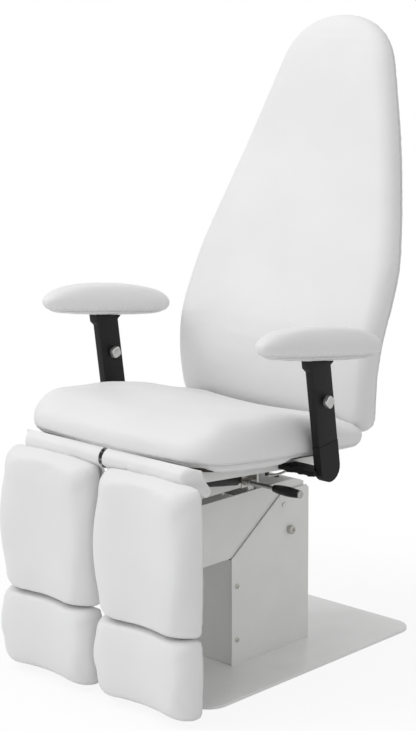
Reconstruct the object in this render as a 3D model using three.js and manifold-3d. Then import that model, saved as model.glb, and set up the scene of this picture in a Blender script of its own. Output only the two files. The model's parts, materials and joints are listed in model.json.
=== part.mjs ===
// A podiatry and pedicure spa chair: floor plate, pedestal with a lifting arm, level-keeping link and
// electric actuator, seat, reclining back, two leg rests with sliding foot rests, and two armrests.
// Millimetres, +Z up. The front faces -Y. The origin is the middle of the floor plate's underside.
import * as THREE from "three";
import { mergeVertices } from "three/addons/utils/BufferGeometryUtils.js";
import Module from "manifold-3d";

const wasm = await Module();
wasm.setup();

// ---------- driving dimensions ----------

const gap = 0.3; // between pieces that touch
const pinSides = 14;

// floor plate and pedestal
const plateWidth = 500;
const plateLength = 710;
const plateThickness = 6;
const plateCorner = 50;
const sheet = 3; // wall of the folded steel parts
const housingWidth = 226;
const housingFrontY = -136;
const housingRearY = 125;
const housingTopZ = 370;
const housingShoulderZ = 250; // where the front edge starts to slope back
const housingSlopeEndY = 36;
const housingRearWallTopZ = 255; // low enough for the arm's tail to swing over it
const housingFlange = 9;
const panelRecess = 5;
const panelTopZ = 247;
const panelReturn = 24;
const screwY = -118.5;
const screwHeights = { lower: 63, upper: 186 };
const screwHeadRadius = 5.8;
const screwHeadHeight = 2.6;
const screwShankRadius = 2.7;

// lifting arm and its level-keeping link
const armPivot = { y: 58.5, z: 277 };
const linkPivot = { y: 38.5, z: 338.5 };
const armReach = { y: -255, z: 300 }; // the pivot that carries the seat
const armWidth = 217;
const armTopZ = 392;
const armBottomZ = 252;
const armFrontY = -292;
const armTailY = 112;
const armTailRadius = 115;
const armBottomPlateRearY = -140;
const frontTopPlate = { frontY: -232, wallY: -165, middleY: -110, halfWidth: 60 };
const rearTopPlate = { wallY: -50, middleY: -10, halfWidth: 65 };
const axleRadius = 8;
const axleHeadRadius = 9.8;
const axleHeadHeight = 12;
const frontAxleRadius = 10;
const linkHalfHeight = 11;
const linkThickness = 8;
const linkOuterX = 82;
const linkPinRadius = 7;
const towerPlate = 8;
const towerOuterX = 96;

// electric actuator
const actuatorFoot = { y: -92, z: 62 };
const actuatorHead = { y: -60, z: 285 };
const actuatorPinRadius = 8;
const actuatorEyeClearance = 5; // the loose pivot of the closed linkage
const actuatorTubeRadius = 24;
const actuatorTubeEnd = 176;
const actuatorRodRadius = 10;
const actuatorFootPinRadius = 6;
const motorRadius = 21;
const motorOffset = 49;

// seat
const seatTilt = THREE.MathUtils.degToRad(4.85);
const seatOrigin = { y: -140, z: 503.9 }; // a point of the cushion's underside
const seatHalfWidth = 300;
const seatFrontS = -279;
const seatRearS = 250;
const seatThickness = 100;
const seatRimHeight = 36; // where the top and the underside meet at the edge
const boardThickness = 9;
const boardInset = 58;
const railHeight = 25;
const railWidth = 22;
const innerRailX = 99; // centre line of the rails over the carrier
const outerRailX = 211;
const railFrontS = -232;
const railRearS = 214;
const cheekThickness = 6;
const cheekOuterX = 103;
const carrierPlate = 5;

// hinges of back and legs
const backHinge = { y: 112, z: 470 };
const legHinge = { y: -404, z: 514 };
const hingeShaftRadius = 8;
const barrelRadius = 12;

// back
const backTopZ = 1437;
const backBottomZ = 503;
const backFrontHalf = 40;
const backRearHalf = { hip: 26, shoulder: 40 };
const backSpringPin = { y: -60, z: 428 };
const backEyeClearance = 5;
const backLever = { y: 132, z: 435.4 };
const springPinRadius = 4;

// leg rests
const legCentreX = 150;
const calfWidth = 276;
const footWidth = 268;
const calfTopZ = 502;
const calfBottomZ = 187;
const footTopZ = 182;
const footBottomZ = 9;
const legPadBackY = -405;
const legPadThickness = 74;
const legPadTrough = 12; // a shallow hollow down the middle of each pad's front, for the leg
const legTube = { width: 40, depth: 20, wall: 3 };
const legTubeFrontY = legPadBackY + gap;
const legTubeBottomZ = 212;
const legSpringX = 125;
const legSpringPin = { y: -120, z: 432 };
const legLever = { y: -385.4, z: 474.1 };
const legPinRadius = 5;
const legEyeClearance = 8; // the loose pivot of the closed linkage
const cylinderRadius = 13;
const cylinderEnd = 176;
const springRodRadius = 5;
const flapRadius = 22;
const flapThickness = 2.5;
const flapSpan = { inner: 14, outer: 264 };

// armrests
const armrestLean = THREE.MathUtils.degToRad(8.3);
const armrestFoot = { y: -62, z: 483 };
const barDepth = 62;
const barWidth = 20;
const barToSeat = 12;
const armrestX = seatHalfWidth + barToSeat + barWidth / 2;
const barWall = 3;
const seamHeight = 55; // above the foot, along the bar
const tongueTop = 190;
const armrestRaise = { left: 20, right: 0 }; // how far each sleeve stands up at rest
const padSeat = { y: -96, z: 716 }; // where the bar meets the pad's underside
const padPitch = THREE.MathUtils.degToRad(7.5);
const padThickness = 74;
const padFrontV = -196;
const padRearV = 219;
const padWidth = 88;
const flangeHalf = 38;
const knobSize = 24;

// release levers
const leverPivotX = 150;
const leverEndX = 304;
const leverRodRadius = 4.5;
const gripLength = 76;
const gripRadius = 12;

// ---------- solids ----------

function solidOf(geometry) {
  const bare = geometry.index ? geometry.toNonIndexed() : geometry.clone();
  bare.deleteAttribute("normal");
  bare.deleteAttribute("uv");
  const merged = mergeVertices(bare, 1e-3);
  const mesh = new wasm.Mesh({
    numProp: 3,
    vertProperties: merged.attributes.position.array,
    triVerts: new Uint32Array(merged.index.array),
  });
  return new wasm.Manifold(mesh);
}

function geometryOf(solid) {
  const mesh = solid.getMesh();
  const geometry = new THREE.BufferGeometry();
  geometry.setAttribute("position", new THREE.BufferAttribute(mesh.vertProperties, 3));
  geometry.setIndex(new THREE.BufferAttribute(mesh.triVerts, 1));
  return geometry;
}

function join(...pieces) {
  return geometryOf(pieces.map(solidOf).reduce((sum, piece) => sum.add(piece)));
}

function cut(body, ...tools) {
  return geometryOf(tools.map(solidOf).reduce((rest, tool) => rest.subtract(tool), solidOf(body)));
}

function box([x0, x1], [y0, y1], [z0, z1]) {
  const geometry = new THREE.BoxGeometry(x1 - x0, y1 - y0, z1 - z0);
  return geometry.translate((x0 + x1) / 2, (y0 + y1) / 2, (z0 + z1) / 2);
}

function shapeFrom(points) {
  return new THREE.Shape(points.map(([u, v]) => new THREE.Vector2(u, v)));
}

const alongX = new THREE.Matrix4().makeBasis(
  new THREE.Vector3(0, 1, 0),
  new THREE.Vector3(0, 0, 1),
  new THREE.Vector3(1, 0, 0),
);

// Extrudes an outline drawn in (y, z) from x0 to x1.
function profile(outline, x0, x1) {
  const shape = outline instanceof THREE.Shape ? outline : shapeFrom(outline);
  const options = { depth: x1 - x0, bevelEnabled: false, curveSegments: 5 };
  return new THREE.ExtrudeGeometry(shape, options).applyMatrix4(alongX).translate(x0, 0, 0);
}

// Extrudes an outline drawn in (x, y) from z0 to z1.
function plan(outline, z0, z1) {
  const shape = outline instanceof THREE.Shape ? outline : shapeFrom(outline);
  const options = { depth: z1 - z0, bevelEnabled: false, curveSegments: 5 };
  return new THREE.ExtrudeGeometry(shape, options).translate(0, 0, z0);
}

// A round bar along X.
function pin(radius, x0, x1, at, sides = pinSides) {
  const geometry = new THREE.CylinderGeometry(radius, radius, x1 - x0, sides);
  return geometry.rotateZ(-Math.PI / 2).translate((x0 + x1) / 2, at.y, at.z);
}

// A round bar along Z in a local frame.
function rod(radius, z0, z1, x = 0, y = 0, sides = pinSides) {
  const geometry = new THREE.CylinderGeometry(radius, radius, z1 - z0, sides);
  return geometry.rotateX(Math.PI / 2).translate(x, y, (z0 + z1) / 2);
}

// A link between two points of the (y, z) plane, with round ends.
function linkOutline(a, b, halfHeight) {
  const angle = Math.atan2(b.z - a.z, b.y - a.y);
  const shape = new THREE.Shape();
  shape.absarc(b.y, b.z, halfHeight, angle - Math.PI / 2, angle + Math.PI / 2, false);
  shape.absarc(a.y, a.z, halfHeight, angle + Math.PI / 2, angle + (3 * Math.PI) / 2, false);
  return shape;
}

function distance(a, b) {
  return Math.hypot(b.y - a.y, b.z - a.z);
}

// The rotation about X that turns +Z towards b, seen from a.
function leanTowards(a, b) {
  return -Math.atan2(b.y - a.y, b.z - a.z);
}

// ---------- materials and nodes ----------

const looks = {
  upholstery: { color: 0xe6e6e6, roughness: 0.55, metalness: 0 },
  powderCoat: { color: 0xcfd0cf, roughness: 0.25, metalness: 0 },
  steel: { color: 0x9c9c98, roughness: 0.35, metalness: 1 },
  zinc: { color: 0xb8b6ae, roughness: 0.4, metalness: 1 },
  blackCoat: { color: 0x222222, roughness: 0.5, metalness: 0 },
  blackPlastic: { color: 0x161616, roughness: 0.4, metalness: 0 },
  greyPlastic: { color: 0xa6a6a4, roughness: 0.4, metalness: 0 },
  plywood: { color: 0xb79263, roughness: 0.7, metalness: 0 },
};

const chair = new THREE.Group();

function node(name, look, geometry, parent = chair) {
  const mesh = new THREE.Mesh(geometry, new THREE.MeshStandardMaterial(looks[look]));
  mesh.name = name;
  parent.add(mesh);
  return mesh;
}

// A group at a point of the (y, z) plane, turned about X.
function frameAt(x, at, turn) {
  const group = new THREE.Group();
  group.position.set(x, at.y, at.z);
  group.rotation.x = turn;
  chair.add(group);
  return group;
}

const sides = { left: -1, right: 1 };

// The stretch of X between two distances from the middle, on one side.
function across(side, inner, outer) {
  return side > 0 ? [inner, outer] : [-outer, -inner];
}

// ---------- floor plate and pedestal ----------

function roundedRectangle(width, length, corner) {
  const x = width / 2;
  const y = length / 2;
  const shape = new THREE.Shape();
  shape.absarc(x - corner, -y + corner, corner, -Math.PI / 2, 0, false);
  shape.absarc(x - corner, y - corner, corner, 0, Math.PI / 2, false);
  shape.absarc(-x + corner, y - corner, corner, Math.PI / 2, Math.PI, false);
  shape.absarc(-x + corner, -y + corner, corner, Math.PI, (3 * Math.PI) / 2, false);
  return shape;
}

function basePlate() {
  return plan(roundedRectangle(plateWidth, plateLength, plateCorner), 0, plateThickness);
}

const housingX = housingWidth / 2;

function pedestalHousing() {
  const floor = plateThickness;
  const sideOutline = [
    [housingFrontY, floor],
    [housingRearY, floor],
    [housingRearY, housingTopZ - 8],
    [housingRearY - 8, housingTopZ],
    [housingSlopeEndY, housingTopZ],
    [housingFrontY, housingShoulderZ],
  ];
  const pieces = Object.values(sides).flatMap((side) => [
    profile(sideOutline, ...across(side, housingX - sheet, housingX)),
    box(
      across(side, housingX - sheet - housingFlange, housingX - sheet / 2),
      [housingFrontY + panelRecess + sheet + panelReturn + 4, housingRearY - sheet / 2],
      [floor, floor + sheet],
    ),
  ]);
  const rearWall = box(
    [-housingX + sheet / 2, housingX - sheet / 2],
    [housingRearY - sheet, housingRearY],
    [floor, housingRearWallTopZ],
  );
  const holes = [pin(axleRadius + gap, -housingX - 1, housingX + 1, armPivot)];
  holes.push(pin(screwShankRadius + gap, -housingX - 1, housingX + 1, linkPivot));
  for (const z of Object.values(screwHeights)) {
    holes.push(pin(screwShankRadius + gap, -housingX - 1, housingX + 1, { y: screwY, z }));
  }
  return cut(join(...pieces, rearWall), ...holes);
}

function frontPanel() {
  const outer = housingX - sheet - gap;
  const faceY = housingFrontY + panelRecess;
  const bottom = plateThickness + gap;
  const face = box([-outer, outer], [faceY, faceY + sheet], [bottom, panelTopZ]);
  const returns = Object.values(sides).map((side) =>
    box(
      across(side, outer - sheet, outer),
      [faceY + sheet / 2, faceY + sheet + panelReturn],
      [bottom, panelTopZ],
    ),
  );
  const holes = Object.values(screwHeights).map((z) =>
    pin(screwShankRadius + gap, -housingX, housingX, { y: screwY, z }),
  );
  return cut(join(face, ...returns), ...holes);
}

// A button-head screw in the housing's side. Those at the front reach into the panel's folded edge.
function housingScrew(side, at, depth) {
  const headStart = housingX + gap;
  const headEnd = headStart + screwHeadHeight;
  const shank = pin(screwShankRadius, ...across(side, housingX - depth, headStart + 1), at, 12);
  const head = pin(screwHeadRadius, ...across(side, headStart, headEnd), at);
  const socket = pin(screwShankRadius * 0.7, ...across(side, headEnd - 1.4, headEnd + 1), at, 6);
  return cut(join(shank, head), socket);
}

function liftTower() {
  const floor = plateThickness;
  const upright = [
    [armPivot.y - 64, floor],
    [armPivot.y + 46, floor],
    [armPivot.y + 33, armPivot.z + 12],
    [linkPivot.y + 16, linkPivot.z + 13],
    [linkPivot.y - 13, linkPivot.z + 13],
    [linkPivot.y - 18, linkPivot.z - 36],
  ];
  const inner = towerOuterX - towerPlate;
  const uprights = Object.values(sides).map((side) =>
    cut(
      profile(upright, ...across(side, inner, towerOuterX)),
      pin(axleRadius + gap, ...across(side, inner - 1, towerOuterX + 1), armPivot),
    ),
  );
  const brace = box(
    [-inner - 1, inner + 1],
    [armPivot.y + 16, armPivot.y + 24],
    [floor, armPivot.z - 50],
  );
  const foot = box([-inner - 1, inner + 1], [armPivot.y - 40, armPivot.y + 40], [floor, floor + 8]);
  const linkPin = pin(linkPinRadius, -inner - 1, inner + 1, linkPivot);
  return join(...uprights, brace, foot, linkPin);
}

function armAxle() {
  const half = housingX + gap;
  const shaft = pin(axleRadius, -half - 1, half + 1, armPivot);
  const heads = Object.values(sides).map((side) =>
    pin(axleHeadRadius, ...across(side, half, half + axleHeadHeight), armPivot),
  );
  return join(shaft, ...heads);
}

function actuatorBracket() {
  const ear = [
    [actuatorFoot.y - 22, plateThickness],
    [actuatorFoot.y + 22, plateThickness],
    [actuatorFoot.y + 11, actuatorFoot.z + 12],
    [actuatorFoot.y - 11, actuatorFoot.z + 12],
  ];
  const foot = box(
    [-30, 30],
    [actuatorFoot.y - 26, actuatorFoot.y + 26],
    [plateThickness, plateThickness + 5],
  );
  const ears = Object.values(sides).map((side) => profile(ear, ...across(side, 13, 19)));
  return join(foot, ...ears, pin(actuatorFootPinRadius, -23, 23, actuatorFoot));
}

node("base_plate", "powderCoat", basePlate());
node("pedestal_housing", "powderCoat", pedestalHousing());
node("pedestal_front_panel", "powderCoat", frontPanel());
node("lift_tower", "powderCoat", liftTower());
node("arm_axle", "zinc", armAxle());
node("actuator_bracket", "steel", actuatorBracket());
for (const [sideName, side] of Object.entries(sides)) {
  node(`housing_plug_${sideName}`, "powderCoat", housingScrew(side, linkPivot, sheet - gap));
  for (const [heightName, z] of Object.entries(screwHeights)) {
    const screw = housingScrew(side, { y: screwY, z }, 2 * sheet + 1);
    node(`housing_screw_${sideName}_${heightName}`, "steel", screw);
  }
}

// ---------- lifting arm ----------

const armX = armWidth / 2;

// The outline of the arm's side, with its tail rounded about the pivot.
function armSideOutline(inset) {
  const radius = armTailRadius - inset;
  const top = armTopZ - inset;
  const tailY = armTailY - inset;
  const shape = new THREE.Shape();
  shape.moveTo(armFrontY, armReach.z - 20);
  shape.lineTo(armReach.y - 15, armBottomZ);
  shape.lineTo(armPivot.y + 16, armBottomZ);
  shape.lineTo(tailY, armPivot.z + 13);
  const start = Math.acos((tailY - armPivot.y) / radius);
  const end = Math.asin(Math.min(1, (top - armPivot.z) / radius));
  shape.absarc(armPivot.y, armPivot.z, radius, start, end, false);
  shape.lineTo(frontTopPlate.frontY - 6, top);
  shape.lineTo(armFrontY, armReach.z + 44);
  return shape;
}

function liftArm() {
  const inner = armX - sheet;
  const cheeks = Object.values(sides).map((side) => profile(armSideOutline(0), ...across(side, inner, armX)));
  const skin = cut(
    profile(armSideOutline(0), -inner - 1, inner + 1),
    profile(armSideOutline(sheet), -inner - 2, inner + 2),
  );
  const topZ = [armTopZ - sheet, armTopZ];
  const rearPlate = plan(
    [
      [-inner - 1, rearTopPlate.wallY],
      [-rearTopPlate.halfWidth, rearTopPlate.middleY],
      [rearTopPlate.halfWidth, rearTopPlate.middleY],
      [inner + 1, rearTopPlate.wallY],
      [inner + 1, armPivot.y + 10],
      [-inner - 1, armPivot.y + 10],
    ],
    ...topZ,
  );
  const frontPlate = plan(
    [
      [-inner - 1, frontTopPlate.frontY],
      [inner + 1, frontTopPlate.frontY],
      [inner + 1, frontTopPlate.wallY],
      [frontTopPlate.halfWidth, frontTopPlate.middleY],
      [-frontTopPlate.halfWidth, frontTopPlate.middleY],
      [-inner - 1, frontTopPlate.wallY],
    ],
    ...topZ,
  );
  const tailRoof = cut(
    skin,
    box([-armX, armX], [armFrontY - 1, armPivot.y + 5], [armBottomZ - 1, armTopZ + 1]),
    box([-armX, armX], [armPivot.y, armTailY + 1], [armBottomZ - 1, armPivot.z + 40]),
  );
  const bottomPlate = box(
    [-inner - 1, inner + 1],
    [armReach.y - 12, armBottomPlateRearY],
    [armBottomZ, armBottomZ + sheet],
  );
  const bosses = [armPivot, armReach].flatMap((at) =>
    Object.values(sides).map((side) => pin(20, ...across(side, inner - 1.8, inner + 1), at, 18)),
  );
  const body = join(...cheeks, rearPlate, frontPlate, tailRoof, bottomPlate, ...bosses);
  const reach = armX + 1;
  return cut(
    body,
    pin(axleRadius + gap, -reach, reach, armPivot),
    pin(frontAxleRadius + gap, -reach, reach, armReach),
    pin(actuatorPinRadius + gap, -reach, reach, actuatorHead),
    rod(5 + gap, armTopZ - 10, armTopZ + 1, plugAt.x, plugAt.y),
  );
}

const plugAt = { x: 70, y: 62 };

function armPlug() {
  const head = rod(6.5, armTopZ + gap, armTopZ + 2.4, plugAt.x, plugAt.y);
  const stem = rod(5, armTopZ - sheet - 2, armTopZ + 1, plugAt.x, plugAt.y);
  return join(head, stem);
}

// A cross pin through both sides of the arm, with flat heads outside.
function crossPin(radius, headRadius, headHeight, at) {
  const half = armX + gap;
  const shaft = pin(radius, -half - headHeight / 2, half + headHeight / 2, at);
  const heads = Object.values(sides).map((side) =>
    pin(headRadius, ...across(side, half, half + headHeight), at),
  );
  return join(shaft, ...heads);
}

node("lift_arm", "powderCoat", liftArm());
node("arm_plug", "blackPlastic", armPlug());
node("arm_front_axle", "steel", crossPin(frontAxleRadius, 14, 4, armReach));
node("arm_actuator_pin", "steel", crossPin(actuatorPinRadius, 10, 1, actuatorHead));

// ---------- level-keeping link ----------

const linkSeatPivot = {
  y: armReach.y + linkPivot.y - armPivot.y,
  z: armReach.z + linkPivot.z - armPivot.z,
};

function levelLink() {
  const bars = Object.values(sides).map((side) =>
    profile(linkOutline(linkPivot, linkSeatPivot, linkHalfHeight + 2), ...across(side, linkOuterX - linkThickness, linkOuterX)),
  );
  const middle = {
    y: (linkPivot.y + linkSeatPivot.y) / 2,
    z: (linkPivot.z + linkSeatPivot.z) / 2,
  };
  const spacer = pin(6, -linkOuterX + 1, linkOuterX - 1, middle);
  const reach = linkOuterX + 1;
  return cut(
    join(...bars, spacer),
    pin(linkPinRadius + gap, -reach, reach, linkPivot),
    pin(linkPinRadius + gap, -reach, reach, linkSeatPivot),
  );
}

node("level_link", "steel", levelLink());

// ---------- actuator ----------

const actuatorLength = distance(actuatorFoot, actuatorHead);
const actuatorFrame = frameAt(0, actuatorFoot, leanTowards(actuatorFoot, actuatorHead));

function localPin(radius, halfWidth, z, sides_ = pinSides) {
  return pin(radius, -halfWidth, halfWidth, { y: 0, z }, sides_);
}

function actuatorBody() {
  const eye = localPin(14, 11, 0);
  const neck = box([-11, 11], [-12, 12], [4, 22]);
  const gearbox = box([-25, 25], [-actuatorTubeRadius, motorOffset + motorRadius], [18, 44]);
  const tube = rod(actuatorTubeRadius, 30, actuatorTubeEnd, 0, 0, 20);
  const bore = rod(actuatorRodRadius + gap, 80, actuatorTubeEnd + 1);
  return cut(join(eye, neck, gearbox, tube), localPin(actuatorFootPinRadius + gap, 12, 0), bore);
}

function actuatorMotor() {
  return rod(motorRadius, 44 + gap, 140, 0, motorOffset + 1, 20);
}

function actuatorRod() {
  const shaft = rod(actuatorRodRadius, 86, actuatorLength - 14);
  const eye = localPin(actuatorPinRadius + actuatorEyeClearance + 7, 12, actuatorLength, 20);
  const hole = localPin(actuatorPinRadius + actuatorEyeClearance, 13, actuatorLength, 20);
  return cut(join(shaft, eye), hole);
}

node("actuator_body", "blackPlastic", actuatorBody(), actuatorFrame);
node("actuator_motor", "steel", actuatorMotor(), actuatorFrame);
node("actuator_rod", "steel", actuatorRod(), actuatorFrame);

// ---------- seat ----------

// A point of the tilted seat: s runs rearwards along its underside and h up from it.
function seatPoint(s, h) {
  return [
    seatOrigin.y + s * Math.cos(seatTilt) + h * Math.sin(seatTilt),
    seatOrigin.z - s * Math.sin(seatTilt) + h * Math.cos(seatTilt),
  ];
}

function seatBar([s0, s1], [h0, h1], [x0, x1]) {
  const corners = [seatPoint(s0, h0), seatPoint(s1, h0), seatPoint(s1, h1), seatPoint(s0, h1)];
  return profile(corners, x0, x1);
}

const seatFrame = frameAt(0, seatOrigin, -seatTilt);
const railTop = -boardThickness - 2 * gap;
const railBottom = railTop - railHeight;
const carrierTop = railBottom - gap;

// The seat's own plane at a world y, for parts that stand upright under the tilted seat.
function heightUnderSeat(y, h) {
  return seatOrigin.z + (seatOrigin.y - y) * Math.tan(seatTilt) + h / Math.cos(seatTilt);
}

function seatCarrier() {
  const top = carrierTop - 1;
  const cheekFrontY = linkSeatPivot.y - 24;
  const cheekRearY = -36;
  const clearZ = armTopZ + 12;
  const outline = [
    [armReach.y - 22, armReach.z - 8],
    [armReach.y - 12, armReach.z - 22],
    [armReach.y + 12, armReach.z - 22],
    [armReach.y + 19, armReach.z - 8],
    [armReach.y + 19, clearZ],
    [rearTopPlate.wallY - 22, clearZ],
    [rearTopPlate.wallY - 22, armTopZ - 14],
    [rearTopPlate.wallY - 2, armTopZ - 14],
    [rearTopPlate.wallY - 2, clearZ],
    [cheekRearY, clearZ],
    [cheekRearY, heightUnderSeat(cheekRearY, top)],
    [cheekFrontY, heightUnderSeat(cheekFrontY, top)],
    [cheekFrontY, linkSeatPivot.z - 14],
  ];
  const inner = cheekOuterX - cheekThickness;
  const cheeks = Object.values(sides).map((side) => profile(outline, ...across(side, inner, cheekOuterX)));
  const topPlate = seatBar([-150, 98], [carrierTop - carrierPlate, carrierTop], [-cheekOuterX, cheekOuterX]);
  const linkPin = pin(linkPinRadius, -inner - 1, inner + 1, linkSeatPivot);
  const springPin = pin(springPinRadius, -inner - 1, inner + 1, backSpringPin);
  const hole = pin(frontAxleRadius + gap, -cheekOuterX - 1, cheekOuterX + 1, armReach);
  return cut(join(...cheeks, topPlate, linkPin, springPin), hole);
}

// A lug from the end of a rail to a hinge shaft.
function hingeLug(x0, x1, root, hinge) {
  return profile(linkOutline({ y: root[0], z: root[1] }, hinge, barrelRadius - 0.5), x0, x1);
}

function seatFrameWeldment() {
  const depth = [railBottom, railTop];
  const half = railWidth / 2;
  const outerEdge = outerRailX + half;
  const rails = [-outerRailX, -innerRailX, innerRailX, outerRailX].map((x) =>
    seatBar([railFrontS, railRearS], depth, [x - half, x + half]),
  );
  const crossbars = [
    seatBar([railFrontS, railFrontS + railWidth], depth, [-outerEdge, outerEdge]),
    seatBar([railRearS - railWidth, railRearS], depth, [-outerEdge, outerEdge]),
  ];
  const middle = (railTop + railBottom) / 2;
  const frontRoot = seatPoint(railFrontS + 12, middle);
  const rearRoot = seatPoint(railRearS - 12, middle);
  const lugs = Object.values(sides).flatMap((side) => [
    hingeLug(...across(side, innerRailX - 10, innerRailX - 2), frontRoot, legHinge),
    hingeLug(...across(side, outerRailX - 4, outerRailX + 4), frontRoot, legHinge),
    hingeLug(...across(side, innerRailX - 10, innerRailX - 2), rearRoot, backHinge),
  ]);
  const reach = outerEdge + 20;
  return cut(
    join(...rails, ...crossbars, ...lugs),
    pin(hingeShaftRadius + gap, -reach, reach, legHinge),
    pin(hingeShaftRadius + gap, -reach, reach, backHinge),
  );
}

// A closed counterclockwise outline from v0 up to v1, with rounded corners and sides that bow
// outwards. A negative bow draws a side's middle in.
function bowedOutline({ halfU, v0, v1, lowCorner, highCorner, bow, count }) {
  const u = halfU - bow.side;
  const low = v0 + Math.max(bow.low, 0);
  const high = v1 - Math.max(bow.high, 0);
  const middle = (v0 + v1) / 2;
  const path = new THREE.Path();
  path.moveTo(0, low - bow.low);
  path.quadraticCurveTo((u - lowCorner) / 2, low - bow.low, u - lowCorner, low);
  path.quadraticCurveTo(u, low, u, low + lowCorner);
  path.quadraticCurveTo(halfU + bow.side, middle, u, high - highCorner);
  path.quadraticCurveTo(u, high, u - highCorner, high);
  path.quadraticCurveTo(0, high + 2 * bow.high, -u + highCorner, high);
  path.quadraticCurveTo(-u, high, -u, high - highCorner);
  path.quadraticCurveTo(-halfU - bow.side, middle, -u, low + lowCorner);
  path.quadraticCurveTo(-u, low, -u + lowCorner, low);
  path.quadraticCurveTo((-u + lowCorner) / 2, low - bow.low, 0, low - bow.low);
  return path.getSpacedPoints(count).slice(0, -1).map((point) => [point.x, point.y]);
}

// A closed outline with pointed ends, wide in its middle.
function leafOutline(halfU, v0, v1, power, count) {
  const half = (v1 - v0) / 2;
  return Array.from({ length: count }, (_, i) => {
    const angle = (2 * Math.PI * i) / count;
    const c = Math.cos(angle);
    const s = Math.sin(angle);
    const u = Math.sign(c) * Math.abs(c) ** (2 / power);
    const v = Math.sign(s) * Math.abs(s) ** (2 / power);
    return [halfU * u, (v0 + v1) / 2 + half * v];
  });
}

function rimNormals(outline) {
  const count = outline.length;
  return outline.map((_, i) => {
    const [u0, v0] = outline[(i + count - 1) % count];
    const [u1, v1] = outline[(i + 1) % count];
    const length = Math.hypot(u1 - u0, v1 - v0);
    return [(v1 - v0) / length, (u0 - u1) / length];
  });
}

// Draws an outline's point in along its normal, as the edge of a cushion rolls over.
function rolled(edge) {
  return ([u, v], [nu, nv], inset, face) => {
    const depth = inset * edge(nu, nv, face);
    return [u - depth * nu, v - depth * nv];
  };
}

// A stuffed form over a closed counterclockwise outline in (u, v). Its rings run from the middle
// of the face at +n over a drawn-in rim to the middle of the face at -n, and each face is crowned.
function cushion({ outline, drawIn, crown = 0.12, centre = [0, 0], place, mid = () => 0, front, rear }) {
  const edgeSteps = 3;
  const normals = rimNormals(outline);
  const round = [];
  for (let k = edgeSteps; k >= 0; k -= 1) {
    const angle = (k / edgeSteps) * (Math.PI / 2);
    round.push({ inset: 1 - Math.cos(angle), scale: 1, lift: (1 - crown) * Math.sin(angle) });
  }
  const inner = [0.35, 0.7].map((scale) => ({ inset: 1, scale, lift: 1 - crown * scale ** 2 }));
  const half = [...inner, ...round];
  const rings = [
    ...half.map((ring) => ({ ...ring, face: 1 })),
    ...half.slice(0, -1).reverse().map((ring) => ({ ...ring, face: -1 })),
  ];
  const positions = [];
  const push = (u, v, face, lift) => {
    const thickness = face > 0 ? front(u, v) : rear(u, v);
    positions.push(...place(u, v, mid(u, v) + face * lift * thickness));
  };
  push(...centre, 1, 1);
  for (const { inset, scale, lift, face } of rings) {
    outline.forEach((point, i) => {
      const [u, v] = drawIn(point, normals[i], inset, face);
      push(centre[0] + scale * (u - centre[0]), centre[1] + scale * (v - centre[1]), face, lift);
    });
  }
  push(...centre, -1, 1);
  const count = outline.length;
  const last = positions.length / 3 - 1;
  const faces = [];
  for (let i = 0; i < count; i += 1) {
    const j = (i + 1) % count;
    faces.push(0, 1 + i, 1 + j);
    for (let ring = 0; ring < rings.length - 1; ring += 1) {
      const a = 1 + ring * count;
      const b = a + count;
      faces.push(a + i, b + i, b + j, a + i, b + j, a + j);
    }
    const end = 1 + (rings.length - 1) * count;
    faces.push(end + i, last, end + j);
  }
  const geometry = new THREE.BufferGeometry();
  geometry.setAttribute("position", new THREE.Float32BufferAttribute(positions, 3));
  geometry.setIndex(faces);
  return geometry;
}

// The seat's top rises from the back to the thighs, dips a little along its middle, and rolls over
// the front edge in a wide curve.
function seatCushion() {
  const rise = (s) => THREE.MathUtils.smoothstep((seatRearS - s) / (seatRearS - seatFrontS), 0, 0.62);
  const dish = (x) => 8 * (1 - Math.min(1, Math.abs(x / seatHalfWidth)) ** 2);
  const top = (x, s) => seatThickness * (0.72 + 0.28 * rise(s)) - dish(x);
  return cushion({
    outline: bowedOutline({
      halfU: seatHalfWidth,
      v0: seatFrontS,
      v1: seatRearS,
      lowCorner: 114,
      highCorner: 52,
      bow: { side: 8, low: 8, high: -18 },
      count: 46,
    }),
    drawIn: rolled((nx, ns, face) => {
      const [across, along] = face > 0 ? [44, ns < 0 ? 92 : 18] : [28, 26];
      return Math.hypot(across * nx, along * ns);
    }),
    crown: 0.06,
    centre: [0, (seatFrontS + seatRearS) / 2],
    place: (x, s, h) => [x, s, h],
    mid: () => seatRimHeight,
    front: (x, s) => top(x, s) - seatRimHeight,
    rear: () => seatRimHeight,
  });
}

function seatBoard() {
  const width = 2 * (seatHalfWidth - boardInset);
  const length = seatRearS - seatFrontS - 2 * boardInset;
  const shape = roundedRectangle(width, length, 40);
  const board = plan(shape, -boardThickness - gap, -gap);
  return board.translate(0, (seatFrontS + seatRearS) / 2, 0);
}

node("seat_carrier", "powderCoat", seatCarrier());
node("seat_frame", "blackCoat", seatFrameWeldment());
node("seat_board", "plywood", seatBoard(), seatFrame);
node("seat_cushion", "upholstery", seatCushion(), seatFrame);
node("leg_hinge_shaft", "steel", pin(hingeShaftRadius, -232, 232, legHinge));
node("back_hinge_shaft", "steel", pin(hingeShaftRadius, -150, 150, backHinge));

// ---------- release cable ----------

// A sheathed inner cable that hangs in a shallow loop under the seat's right rail.
function releaseCable() {
  const sag = 15;
  const points = [
    [outerRailX, 12, gap],
    [outerRailX, 12, 5],
    [outerRailX - 5, 17, 11],
    [outerRailX - 10, 34, sag],
    [outerRailX - 10, 60, sag],
    [outerRailX - 5, 77, 11],
    [outerRailX, 82, 5],
    [outerRailX, 82, gap],
  ].map(([x, s, drop]) => new THREE.Vector3(x, ...seatPoint(s, railBottom - drop)));
  const path = new THREE.CatmullRomCurve3(points);
  const section = new THREE.Shape();
  section.absarc(0, 0, 2.6, 0, 2 * Math.PI, false);
  return new THREE.ExtrudeGeometry(section, { steps: 18, curveSegments: 4, extrudePath: path });
}

node("release_cable", "zinc", releaseCable());

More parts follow.
